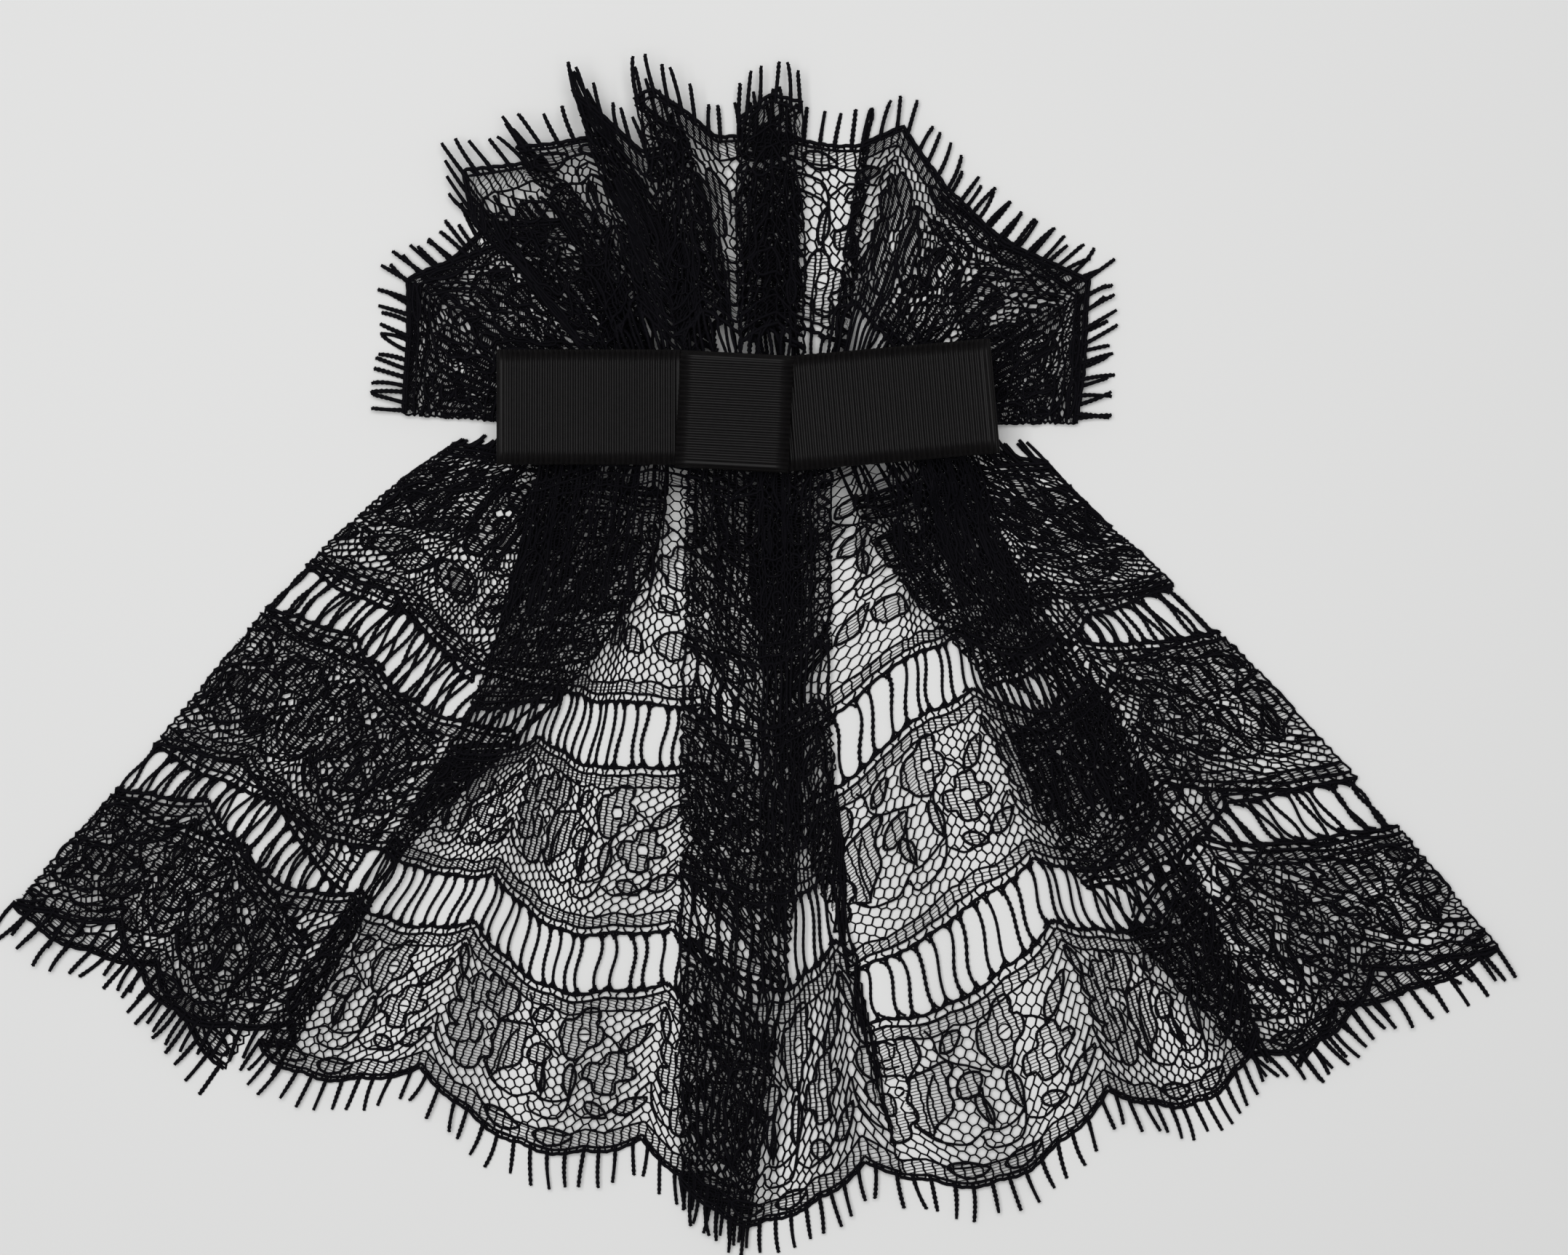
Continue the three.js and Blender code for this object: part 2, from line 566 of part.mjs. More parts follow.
// The bow sits on the highest gather under it.
const seat = RIBBON.width / 2 + BOW.thick;
let highestGather = 0;
for (let x = -BOW.left; x <= BOW.right; x += 1) {
  for (let y = -seat; y <= seat; y += 1) {
    highestGather = Math.max(highestGather, pileTop(x, y, 1));
  }
}
const bow = new THREE.Group();
bow.position.set(0, BOW.up, highestGather + BOW.gap + BOW.thick / 2 + KNOT.wall);
const leftLoop = named("bow_loop_left", bowLoop(BOW.left, -1, 0), ribbonFinish());
const rightLoop = named("bow_loop_right", bowLoop(BOW.right, 1, BOW.lean), ribbonFinish());
rightLoop.rotation.z = radians(BOW.lean);
const knot = named("bow_knot", bowKnot(), ribbonFinish());
knot.rotation.z = radians(KNOT.lean);
bow.add(leftLoop, rightLoop, knot);

const covering = new THREE.Group();
covering.add(named("hair_clip", hairClip(), clipFinish()));
covering.add(named("lace_skirt", skirt, laceFinish()));
covering.add(named("lace_crest", crest, laceFinish()));
covering.add(bow);

export default covering;
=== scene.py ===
# %% [markdown]
# # A black lace head covering, thread by thread
# The covering lies flat on a pale table: a wide pleated skirt of lace, a short fanned crest of the same
# lace, and a flat bow over the seam. The lace is a real net, so it is built from its threads. Each
# thread is first drawn on the flat cloth, and the cloth is then laid in its folds.

# %% Load the measured model
import math

import bpy
import numpy as np
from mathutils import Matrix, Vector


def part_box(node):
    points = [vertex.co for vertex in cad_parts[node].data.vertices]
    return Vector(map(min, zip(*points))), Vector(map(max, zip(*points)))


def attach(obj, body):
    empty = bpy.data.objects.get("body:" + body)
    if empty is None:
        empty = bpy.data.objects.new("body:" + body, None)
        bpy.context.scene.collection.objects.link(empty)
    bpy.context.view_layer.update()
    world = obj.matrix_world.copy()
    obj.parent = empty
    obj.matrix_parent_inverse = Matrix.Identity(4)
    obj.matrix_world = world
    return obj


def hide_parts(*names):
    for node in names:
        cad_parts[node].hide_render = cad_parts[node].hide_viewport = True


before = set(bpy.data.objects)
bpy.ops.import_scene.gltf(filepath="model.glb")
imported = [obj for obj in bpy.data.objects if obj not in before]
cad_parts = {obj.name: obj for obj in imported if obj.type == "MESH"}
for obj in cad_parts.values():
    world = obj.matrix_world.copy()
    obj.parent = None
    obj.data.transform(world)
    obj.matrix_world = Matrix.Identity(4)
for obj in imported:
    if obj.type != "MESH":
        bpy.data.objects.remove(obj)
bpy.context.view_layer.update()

MM = 0.001

# %% [markdown]
# ## Where the folds lie
# A pleated cloth is easiest to describe by its fold lines. Each row is one line, in the order in which
# it comes along the cloth, with its place on the table at each depth below the gather, in millimetres.
# Where two rows cross over, the cloth doubles back, and that is a pleat. The first number of a row is
# how far the hem stands off the table there. The second is how far the pattern has slipped down the
# cloth, because hand-laid pleats are never quite straight. The slips are set so that the open ladders
# fall where the photo shows them. The rows of hidden layers are guesses.

# %% The skirt's fold lines
SKIRT_DEPTHS = [0, 32, 65, 111.5, 150]
SKIRT_FOLDS = [
    ("left_end", 0, 0, [(-25, -5.2), (-41, -32), (-59, -63), (-84, -103), (-104, -133)]),
    ("left_edge", 0, -2, [(-58, -4.1), (-77, -18), (-97, -37), (-126, -72), (-149, -98)]),
    ("left_tuck", 0, 9, [(-13, -4.9), (-18, -33), (-38, -62), (-70, -93), (-93, -133)]),
    ("left_pleat", 0, 4, [(-41, -4.4), (-48, -36), (-58, -64), (-75, -92), (-99, -129)]),
    ("left_main", 0, 0, [(-17, -4.2), (-20, -34), (-25, -67), (-33, -113), (-38, -149)]),
    ("centre_tuck_left", 0, 12, [(14, -5.1), (14, -34), (15, -68), (12, -112), (5, -162)]),
    ("centre_fold_left", 0, -9, [(-11, -4), (-11, -35), (-12, -68), (-12, -114), (-12, -162)]),
    ("centre_mid", 0, -9, [(5, -4.3), (5, -35), (5, -68), (5, -115), (3, -164)]),
    ("centre_fold_right", 0, -9, [(21, -4.1), (21, -35), (21, -68), (26, -114), (35, -159)]),
    ("centre_tuck_right", 0, 10, [(3, -5), (3, -35), (8, -70), (22, -115), (34, -159)]),
    ("right_main", 0, -7, [(31, -4.3), (35, -33), (37, -65), (50, -115), (61, -153)]),
    ("right_pleat", 0, -4, [(50, -4.1), (60, -32), (77, -58), (98, -95), (112, -131)]),
    ("right_tuck", 0, 10, [(19, -5.1), (32, -32), (53, -57), (71, -96), (106, -134)]),
    ("right_edge", 0, 3, [(62, -4.9), (79, -22), (96, -38), (132, -76), (158, -107)]),
    ("right_end", 0, -13, [(36, -5.4), (52, -31), (68, -59), (88, -99), (116, -134)]),
]
print(len(SKIRT_FOLDS), "fold lines in the skirt")

# %% The crest's fold lines
CREST_DEPTHS = [0, 33, 66]
CREST_FOLDS = [
    ("under_left_top", 0, 6, [(-24, 1.5), (-41, 24), (-54, 40)]),
    ("under_left", 0, -5, [(-34, 2.27), (-52, 14), (-68, 27)]),
    ("edge_left", 0, 0, [(-43, -2), (-58, -1), (-71, 0)]),
    ("corner_left", 0, 7, [(-34, 1.64), (-53, 17), (-70, 29)]),
    ("tuck_left", 0, -6, [(-12, 2.41), (-23, 24), (-37, 42)]),
    ("second_side", 2, 3, [(-25, 3.18), (-41, 24), (-56, 41)]),
    ("second_top", 3, -8, [(-23, 1.78), (-42, 29), (-58, 52)]),
    ("spike_a_tuck", 3, 5, [(-9, 2.55), (-22, 33), (-40, 54)]),
    ("spike_a", 6, -3, [(-20, 3.32), (-33, 33), (-47, 57)]),
    ("before_b", 4, 8, [(-14, 1.92), (-23, 32), (-33, 59)]),
    ("spike_b_tuck", 4, -6, [(-2, 2.69), (-10, 33), (-26, 60)]),
    ("spike_b", 9, 2, [(-15, 3.46), (-25, 38), (-34.5, 68.5)]),
    ("valley_bc", 5, -7, [(-8, 2.06), (-14, 31), (-20, 56)]),
    ("pleat_c_tuck", 3, 6, [(2, 2.83), (-3, 34), (-10, 59)]),
    ("pleat_c", 7, -4, [(-12, 3.6), (-15, 34), (-21.5, 67)]),
    ("pleat_c_middle", 7, 0, [(-7, 2.9), (-11.5, 35), (-17.6, 69)]),
    ("pleat_c_top", 7, 4, [(-3, 2.2), (-8, 34), (-11, 64.5)]),
    ("gap", 1, 0, [(3, 2.97), (0, 31), (-4, 59)]),
    ("pleat_d_tuck_left", 0, 7, [(14, 1.57), (14, 31), (12, 60)]),
    ("pleat_d_left", 3, -5, [(1, 2.34), (0, 33), (0.5, 63)]),
    ("pleat_d_middle", 3, 0, [(8, 2.7), (8, 35), (7.5, 68.5)]),
    ("pleat_d_right", 4, -5, [(15, 3.11), (15, 34), (14.5, 66.5)]),
    ("pleat_d_tuck_right", 0, 6, [(2, 1.71), (2, 31), (4, 60)]),
    ("single", 0, 0, [(17, 2.48), (20, 31), (22, 58)]),
    ("crease_e_tuck", 0, -6, [(23, 3.25), (27, 34), (29, 58)]),
    ("crease_e", 2, 3, [(18, 1.85), (23, 34), (27, 58)]),
    ("peak", 1, 5, [(21, 2.62), (29, 34), (36, 62)]),
    ("crease_f", 1, 3, [(24, 3.39), (35, 28), (45, 48)]),
    ("top_right", 0, -2, [(31, 1.99), (45, 22), (58, 37)]),
    ("corner_right", 0, 2, [(40, 2.76), (59, 16), (76, 29)]),
    ("edge_right", 0, 0, [(45, -2), (61, -2), (73, -2)]),
    ("under_right", 0, -6, [(39, 2.13), (57, 15), (74, 26)]),
    ("under_right_top", 0, 6, [(23, 2.9), (34, 27), (44, 47)]),
]
print(len(CREST_FOLDS), "fold lines in the crest")

# %% [markdown]
# ## From flat cloth to table
# A spot on the flat cloth has two numbers: its run along the hem and its depth below the gather.
# Between two fold lines the spot is blended, and down a fold line a smooth curve runs through the given
# places. The same two numbers later place every thread.

# %% A cloth that knows its folds
class Cloth:
    def __init__(self, folds, depths):
        self.names = [name for name, _, _, _ in folds]
        self.lifts = np.array([lift for _, lift, _, _ in folds], float)
        self.slips = np.array([slip for _, _, slip, _ in folds], float)
        self.at = np.array([places for _, _, _, places in folds], float)
        self.depths = np.array(depths, float)
        hem_steps = np.linalg.norm(np.diff(self.at[:, -1], axis=0), axis=1)
        self.runs = np.concatenate([[0], np.cumsum(hem_steps)])

    def run_of(self, number):
        return np.interp(number, np.arange(len(self.runs)), self.runs)

    def down_fold(self, fold, depth):
        last = len(self.depths) - 1
        i = np.clip(np.searchsorted(self.depths, depth) - 1, 0, last - 1)
        span = self.depths[i + 1] - self.depths[i]
        f = ((depth - self.depths[i]) / span)[:, None]

        def slope(j):
            a, b = np.maximum(j - 1, 0), np.minimum(j + 1, last)
            rise = self.at[fold, b] - self.at[fold, a]
            return rise * (span / (self.depths[b] - self.depths[a]))[:, None]

        g = np.clip(f, 0, 1)
        here, there = self.at[fold, i], self.at[fold, i + 1]
        line = (2 * g**3 - 3 * g**2 + 1) * here + (g**3 - 2 * g**2 + g) * slope(i)
        line += (3 * g**2 - 2 * g**3) * there + (g**3 - g**2) * slope(i + 1)
        outward = slope(i + 1)
        outward /= np.linalg.norm(outward, axis=1, keepdims=True)
        return line + outward * np.maximum(depth - self.depths[-1], 0)[:, None]

    def place(self, run, depth):
        number = np.interp(run, self.runs, np.arange(len(self.runs)))
        fold = np.minimum(number.astype(int), len(self.runs) - 2)
        share = (number - fold)[:, None]
        before, after = self.down_fold(fold, depth), self.down_fold(fold + 1, depth)
        return before * (1 - share) + after * share


skirt = Cloth(SKIRT_FOLDS, SKIRT_DEPTHS)
crest = Cloth(CREST_FOLDS, CREST_DEPTHS)
hems = [round(float(cloth.runs[-1])) for cloth in (skirt, crest)]
print("the hems of the skirt and the crest are", hems, "mm long")

# %% [markdown]
# ## Laying the panels one on another
# Lace is about 0.4 mm thick, but a dozen layers meet at the gather. A grid over the table remembers how
# high the pile is at each place. The panels are laid in the order in which they lie in the photo, and
# each one rests on the highest thing near it, then slopes down gently beside it.

# %% A grid that remembers heights
LAYER = 0.42
CELL = 1.5
ORIGIN = np.array([-180.0, -200.0])
pile = np.zeros((250, 200))


def cells(places):
    return tuple(np.round((places - ORIGIN) / CELL).astype(int).T)


def widened(heights, reach):
    highest = heights.copy()
    span = int(reach / CELL)
    for i in range(-span, span + 1):
        for j in range(-span, span + 1):
            if math.hypot(i, j) * CELL <= reach:
                highest = np.maximum(highest, np.roll(heights, (i, j), (0, 1)))
    return highest


print("the grid covers", [round(n * CELL) for n in pile.shape], "mm")

# %% [markdown]
# A panel's height at a spot is the greatest of four: a little above what lies near it, the lift of the
# fold, a low ripple that keeps cloth from lying dead flat, and the rise over the clip. Then heights are
# evened out six times, so that the cloth leaves every step at a gentle slope.

# %% Lay one panel after another
NEAR, CLEARANCE, SLOPE = 3.2, 0.12, 0.06
RIPPLE, RIPPLE_LENGTH = 0.8, 31
CLIP_TOP, CLIP_REACH, CLIP_SLOPE = 3.5, 39, 17
PAST_HEM = 20


def least_height(cloth, run, depth, places, puff):
    under = widened(pile, NEAR)[cells(places)]
    share = np.clip(depth / cloth.depths[-1], 0, 1.1)
    lift = np.interp(run, cloth.runs, cloth.lifts) * share**2
    ripple = RIPPLE * (1 - np.cos(2 * np.pi * run / RIPPLE_LENGTH)) * np.clip(share - 0.2, 0, 1)
    over_clip = (CLIP_TOP + puff) * np.exp(-((depth / CLIP_SLOPE) ** 2))
    over_clip = (np.abs(places[:, 0]) < CLIP_REACH) * over_clip
    return np.maximum.reduce([np.where(under > 0, under + CLEARANCE, 0), lift, ripple, over_clip])


def lay(cloth, panels, hem, puff):
    runs = np.arange(0, cloth.runs[-1] + 1, 1.0)
    depths = np.arange(0, cloth.depths[-1] + PAST_HEM, CELL)
    heights = np.zeros((len(depths), len(runs)))
    for a, b in panels:
        first, last = sorted(cloth.names.index(name) for name in (a, b))
        columns = np.nonzero((runs >= cloth.runs[first]) & (runs <= cloth.runs[last]))[0]
        run, depth = (grid.ravel() for grid in np.meshgrid(runs[columns], depths))
        places = cloth.place(run, depth)
        least = least_height(cloth, run, depth, places, puff).reshape(len(depths), len(columns))
        z = least.copy()
        for _ in range(6):
            edged = np.pad(z, 1, mode="edge")
            beside = (edged[:-2, 1:-1] + edged[2:, 1:-1] + edged[1:-1, :-2] + edged[1:-1, 2:]) / 4
            z = np.maximum(least, beside - SLOPE)
        heights[:, columns] = z
        kept = depth <= hem(run)
        np.maximum.at(pile, tuple(i[kept] for i in cells(places)), z.ravel()[kept] + LAYER)
    for _ in range(2):
        sides = np.pad(heights, ((0, 0), (1, 1)), mode="edge")
        heights = (sides[:, :-2] + 2 * heights + sides[:, 2:]) / 4
    return heights


def height_at(heights, run, depth):
    i = np.clip(depth / CELL, 0, heights.shape[0] - 1.001)
    j = np.clip(run, 0, heights.shape[1] - 1.001)
    a, b = i.astype(int), j.astype(int)
    f, g = i - a, j - b
    upper = heights[a, b] * (1 - g) + heights[a, b + 1] * g
    lower = heights[a + 1, b] * (1 - g) + heights[a + 1, b + 1] * g
    return upper * (1 - f) + lower * f


print("a panel clears what lies below it by", CLEARANCE, "mm")

# %% [markdown]
# ## The scalloped hem
# The hem hangs in lobes 3.5 to 6 cm wide. The numbers say where it comes closest to the gather,
# counted in fold lines: 1.3 is a little past the second line. The crest is gathered so tightly that its
# lobes lie hidden in the spikes of its outline, so there the lobes are even and flat.

# %% The hem's lobes
LOBE = 9
LOBE_WIDTH = 52
CREST_LOBES = 10
VALLEYS = [0.45, 1.3, 1.95, 3.51, 4.43, 5.9, 7.78, 10.38, 11.05, 12.59, 13.7]
inner_valleys = skirt.run_of(VALLEYS)
skirt_valleys = np.concatenate(
    [[inner_valleys[0] - LOBE_WIDTH], inner_valleys, [inner_valleys[-1] + LOBE_WIDTH]]
)
crest_valleys = np.linspace(0, crest.runs[-1], CREST_LOBES + 1)


def skirt_hem(run):
    k = np.clip(np.searchsorted(skirt_valleys, run) - 1, 0, len(skirt_valleys) - 2)
    share = (run - skirt_valleys[k]) / (skirt_valleys[k + 1] - skirt_valleys[k])
    return skirt.depths[-1] + LOBE * np.abs(np.sin(np.pi * share))


def crest_hem(run):
    return np.full(np.shape(run), crest.depths[-1])


print("the skirt's lobes are", np.diff(skirt_valleys).round().astype(int), "mm wide")

# %% Lay the skirt, then the crest
SKIRT_PANELS = [
    ("left_end", "left_edge"), ("left_edge", "left_tuck"), ("left_tuck", "left_pleat"),
    ("left_pleat", "centre_tuck_left"), ("right_edge", "right_end"), ("right_tuck", "right_edge"),
    ("right_pleat", "right_tuck"), ("centre_tuck_right", "right_pleat"),
    ("centre_tuck_left", "centre_fold_left"), ("centre_fold_right", "centre_tuck_right"),
    ("centre_fold_left", "centre_fold_right"),
]
CREST_PANELS = [
    ("edge_right", "under_right_top"), ("pleat_d_tuck_right", "crease_e_tuck"),
    ("crease_e_tuck", "crease_e"), ("crease_e", "edge_right"), ("under_left_top", "edge_left"),
    ("edge_left", "tuck_left"), ("tuck_left", "second_side"), ("second_side", "spike_a_tuck"),
    ("spike_a_tuck", "spike_a"), ("spike_a", "spike_b_tuck"), ("spike_b_tuck", "spike_b"),
    ("spike_b", "pleat_c_tuck"), ("pleat_c_tuck", "pleat_c"), ("pleat_c", "pleat_d_tuck_left"),
    ("pleat_d_tuck_left", "pleat_d_left"), ("pleat_d_right", "pleat_d_tuck_right"),
    ("pleat_d_left", "pleat_d_right"),
]
skirt_heights = lay(skirt, SKIRT_PANELS, skirt_hem, puff=4.0)
crest_heights = lay(crest, CREST_PANELS, crest_hem, puff=0.5)
print("the pile of lace is", round(float(pile.max()), 1), "mm high at most")

# %% [markdown]
# ## The pattern of the lace
# The pattern repeats with the lobes, so it is drawn once on a tile 54 mm wide and then set along the
# cloth. From the gather to the hem come three bands of net with flowers and leaves, and between them
# open ladders that only cords cross. All the edges between them are scalloped with the lobes.

# %% Bands, ladders and a list for threads
TILE = 54.0
BANDS = [(4.5, 2.0, 54.0, 5.0), (67.0, 6.0, 104.0, 6.0), (116.0, 7.5, 150.0, LOBE)]


def scallop(x):
    share = np.clip(x, 0, TILE) / TILE
    return np.abs(np.sin(np.pi * share)) + 0.1 * np.abs(np.sin(4 * np.pi * share))


def scalloped(x, depth, size):
    return depth + size * scallop(x)


class Threads:
    def __init__(self):
        self.parts = []

    def add(self, x, y, radius, lift=0.0):
        x, y = np.broadcast_arrays(np.atleast_2d(x), np.atleast_2d(y))
        shape = x.shape
        full = lambda value: np.broadcast_to(value, shape)
        self.parts.append((x, y, full(radius), full(lift)))

    def flat(self):
        found, count = [], 0
        for x, y, radius, lift in self.parts:
            number = np.repeat(np.arange(x.shape[0]) + count, x.shape[1])
            count += x.shape[0]
            found.append(np.stack([x.ravel(), y.ravel(), radius.ravel(), lift.ravel(), number], 1))
        return np.concatenate(found)


tile = Threads()
print(len(BANDS), "bands between the gather and the hem")

# %% [markdown]
# ### Flowers and leaves
# Each motif is a closed line through a few given points: a big leaf with lobes that curls round
# like the letter C, a toothed pod that leans on it, flowers with a round eye, and small leaves. Inside
# a motif fine threads lie close together, which makes it darker than the ground, and a thick cord
# follows its outline and curls on inside.

# %% Lines through points
def curve(*knots, closed=False):
    knots = np.array(knots, float)
    if closed:
        around = np.concatenate([knots[-1:], knots, knots[:2]])
    else:
        around = np.concatenate([2 * knots[:1] - knots[1:2], knots, 2 * knots[-1:] - knots[-2:-1]])
    spans = len(around) - 3
    f = np.linspace(0, spans, 5 * spans + 1)
    k = np.minimum(f.astype(int), spans - 1)
    g = (f - k)[:, None]
    a, b, c, d = (around[k + n] for n in range(4))
    square, cube = 2 * a - 5 * b + 4 * c - d, 3 * b - a - 3 * c + d
    return 0.5 * (2 * b + (c - a) * g + square * g**2 + cube * g**3)


def leaf(x, y, length, width, turn, teeth=0):
    f = np.linspace(0, 1, 25)
    half = width / 2 * np.sin(np.pi * f**0.85) ** 0.9
    rough = half * (1 + 0.22 * np.abs(np.sin(np.pi * teeth * f))) if teeth else half
    p = np.concatenate([f, f[::-1]]) * length - length / 2
    q = np.concatenate([rough, -half[::-1]])
    c, s = math.cos(turn), math.sin(turn)
    return np.stack([x + c * p - s * q, y + s * p + c * q], 1)


print("a curve through 3 points has", len(curve((0, 0), (1, 1), (2, 0))), "points")

# %% Draw the motifs
LOBED_LEAF = curve(
    (16.9, 6.8), (18.4, 5.2), (19.1, 3.1), (18.4, 1), (16.6, 0.3), (14.8, 0.8), (14.1, 2.3), (11.9, 0.8),
    (10.2, 1.1), (9.8, 2.9), (7.5, 2.5), (5.9, 3.9), (5.7, 6), (2.8, 6), (1.8, 7.3), (1.8, 9.4),
    (3.3, 10.5), (4.8, 10.7), (2.9, 11.4), (1.7, 12.6), (1.5, 14.3), (2.9, 15.4), (5.8, 15.6),
    (3.7, 16.3), (3, 17.6), (3.6, 19), (5, 19.3), (6.4, 18.9), (6.6, 20.8), (7.5, 22.7), (9.6, 23.1),
    (11.8, 22.4), (12.8, 20.8), (12.8, 19.5), (14.7, 18), (14.8, 16.1), (13.6, 14.1), (14.5, 12),
    (15, 9.4), closed=True,
)
POD = curve(
    (23.1, 6.2), (24.7, 6.9), (24.2, 8.3), (22.7, 9.4), (22, 12), (22.3, 14.1), (21.4, 16.1),
    (19.5, 17.4), (17.5, 19.3), (16.9, 20.9), (14.8, 20.1), (13.5, 19.3), (14.8, 18), (14.8, 16.1),
    (13.6, 14.1), (14.5, 12), (15.1, 9.4), (17.9, 7.8), (20.5, 6.8), closed=True,
)
EYED_FLOWER = curve(
    (37.2, -0.3), (39.8, 0.6), (39.9, 2.3), (39, 3.6), (40.8, 4.9), (41.1, 6.8), (40, 8.4), (37.8, 8.6),
    (37.2, 10.4), (35.1, 11.3), (33, 10.2), (32, 8.3), (30.7, 6.3), (31, 3.6), (31.8, 2.3),
    (34.1, 1.9), (35.6, 0.4), closed=True,
)
CROSS_FLOWER = curve(
    (42.7, 9.9), (46.9, 9.6), (47.2, 12.3), (49.6, 13.2), (49.9, 15.3), (46, 15.9), (46, 18.6),
    (41.5, 18.6), (40.6, 16.5), (38.2, 15.3), (38.8, 12.3), (42.1, 12.3), closed=True,
)
FILLED = [
    LOBED_LEAF, POD, EYED_FLOWER, CROSS_FLOWER,
    leaf(25.6, 3.1, 5.6, 3.2, -0.5), leaf(26.6, 11.8, 7, 4.2, -0.45, teeth=3),
    leaf(35.3, 16, 7.8, 3, 1.5), leaf(27.9, 17.3, 6.6, 2.6, 1.3), leaf(49, 6.3, 8.6, 3.4, -0.6, teeth=3),
    leaf(50.2, 21.4, 7.6, 3.4, -0.25), leaf(1.5, 3.4, 6, 3, 1.1), leaf(42.5, 22.6, 6.4, 2.8, 0.4),
]
OPEN = [curve((10.5, 9.2), (14.1, 9.6), (13.9, 12), (12.9, 14), (13.8, 16.5), (11.7, 16), (11.1, 13),
              (8.7, 11.8), (9.1, 10.2), closed=True)]
EYES = [(36.6, 5.7, 1.35), (44.2, 14.1, 1.4), (12.6, 12, 0.8)]
CORDS = [
    curve((14, 2.4), (13, 4.8), (10.3, 5), (9.9, 6), (11.3, 6.9), (13.8, 6.7)),
    curve((5.9, 6.5), (6.7, 9), (8, 9.2), (9.1, 7.9), (10.5, 8.3), (13.2, 8.6), (15, 9.4)),
    curve((8.9, 9.6), (7.5, 11.2), (6.3, 12.3), (7.5, 13.3), (8.4, 15.1), (8.9, 16.8), (7.5, 18.3),
          (6.4, 18.9)),
    curve((8.5, 11.8), (10.8, 12.4), (11.3, 14.5), (10.7, 16.9), (8.9, 16.8)),
    curve((17.4, 20.3), (17.1, 15.6), (17.9, 12), (20, 8.3)),
    curve((21, -0.5), (22.3, 1.6), (22.6, 4.7), (25.2, 7.3), (28.3, 8.9), (32, 10.9)),
    curve((14.3, 20.1), (16.9, 21.9), (20, 22.4), (23.1, 22.7), (26.8, 21.1), (30.4, 21.4), (34.6, 20.3),
          (36.1, 19.3)),
    curve((26.2, 21.9), (26.8, 24.5), (29.4, 25), (33.5, 24.5), (35.1, 22.4), (36.1, 19.3)),
    curve((28.8, 13), (28.2, 16), (28.8, 21)),
    curve((36.6, 11), (36, 12.5), (35.6, 19.3)),
    curve((46.5, 18.6), (47.4, 20.4), (46, 22.4), (40, 24.4), (36.1, 22)),
    curve((53.6, 17), (51.5, 18.4), (50.6, 21.2)),
    curve((41, 5.6), (43.4, 6.8), (45.2, 8.6), (45, 9.8)),
    curve((0, 17), (0.8, 20.5), (3.4, 22.4), (7, 22.8)),
]
print(len(FILLED), "filled motifs and", len(CORDS), "loose cords in the tile")

# %% [markdown]
# ### Net, filling and cords
# The ground is a net of upright threads that lean on each other left and right in turn, with a short
# tie where two come close, so that the holes are six-sided. In the filled places the uprights run
# straighter, and thin threads cross them every two thirds of a millimetre. All sizes are in
# millimetres, and a thread's size is its radius before it is pressed flat.

# %% Sizes of net and threads
COLUMNS = 28
PITCH = TILE / COLUMNS
NET_ROW, FILL_ROW, BEAD = 1.15, 0.66, 0.95
LEAN, FILLED_LEAN = 0.42, 0.14
UPRIGHT, TIE, FILLING = 0.23, 0.17, 0.09
OUTLINE, LOOSE_CORD, EYE_CORD = 0.33, 0.27, 0.17
EDGE_CORDS = 0.4, 0.3, 0.25
HEADING, HEM_HEADING = (1.7, 4.1), (0.9, 3.9)
LOWER_HEADING = (1.7, 3.9)
rng = np.random.default_rng(11)
print("the net has uprights every", round(PITCH, 2), "mm")


# %% Inside a line, and points closely along it
def inside(x, y, outlines):
    found = np.zeros(np.shape(x), bool)
    for line in outlines:
        hit = np.zeros(np.shape(x), bool)
        for (ax, ay), (bx, by) in zip(line, np.roll(line, -1, 0)):
            if ay != by:
                hit ^= ((ay > y) != (by > y)) & (x < (bx - ax) * (y - ay) / (by - ay) + ax)
        found |= hit
    return found


def closely(line, step):
    gaps = np.linalg.norm(np.diff(line, axis=0), axis=1)
    along = np.concatenate([[0], np.cumsum(gaps)])
    even = np.linspace(0, along[-1], max(3, int(along[-1] / step)))
    return np.stack([np.interp(even, along, line[:, 0]), np.interp(even, along, line[:, 1])], 1)


print("the middle of the pod is filled:", bool(inside(19.0, 14.0, [POD])))

# %% [markdown]
# A band knows its two scalloped edges and its motifs. The motifs bend with the scallops, and a narrow
# heading along each edge is filled as they are.

# %% A band of lace
class Band:
    def __init__(self, top, top_size, bottom, bottom_size, drop, extra=()):
        self.top, self.bottom, self.deepest = top, bottom, bottom + bottom_size
        self.top_size, self.bottom_size = top_size, bottom_size
        self.low = HEM_HEADING if bottom_size == LOBE else LOWER_HEADING

        def moved(line):
            line = np.array(line, float)
            bend = 0.4 * (top_size + bottom_size) * scallop(line[:, 0])
            return np.stack([line[:, 0], line[:, 1] + top + drop + bend], 1)

        self.outlines = [moved(line) for line in FILLED + list(extra)]
        self.openings = [moved(line) for line in OPEN]
        self.cords = [moved(line) for line in CORDS]
        self.eyes = [(*moved([(x, y)])[0], r) for x, y, r in EYES]

    def from_edges(self, x, y):
        return y - scalloped(x, self.top, self.top_size), scalloped(x, self.bottom, self.bottom_size) - y

    def filled(self, x, y):
        from_top, from_bottom = self.from_edges(x, y)
        within = (from_top > HEADING[0]) & (from_bottom > self.low[0])
        heading = (from_top < HEADING[1]) | (from_bottom < self.low[1])
        in_eye = np.zeros(np.shape(x), bool)
        for ex, ey, r in self.eyes:
            in_eye |= np.hypot(x - ex, y - ey) < r
        in_motif = inside(x, y, self.outlines) & ~inside(x, y, self.openings)
        return (in_motif | heading) & within & ~in_eye


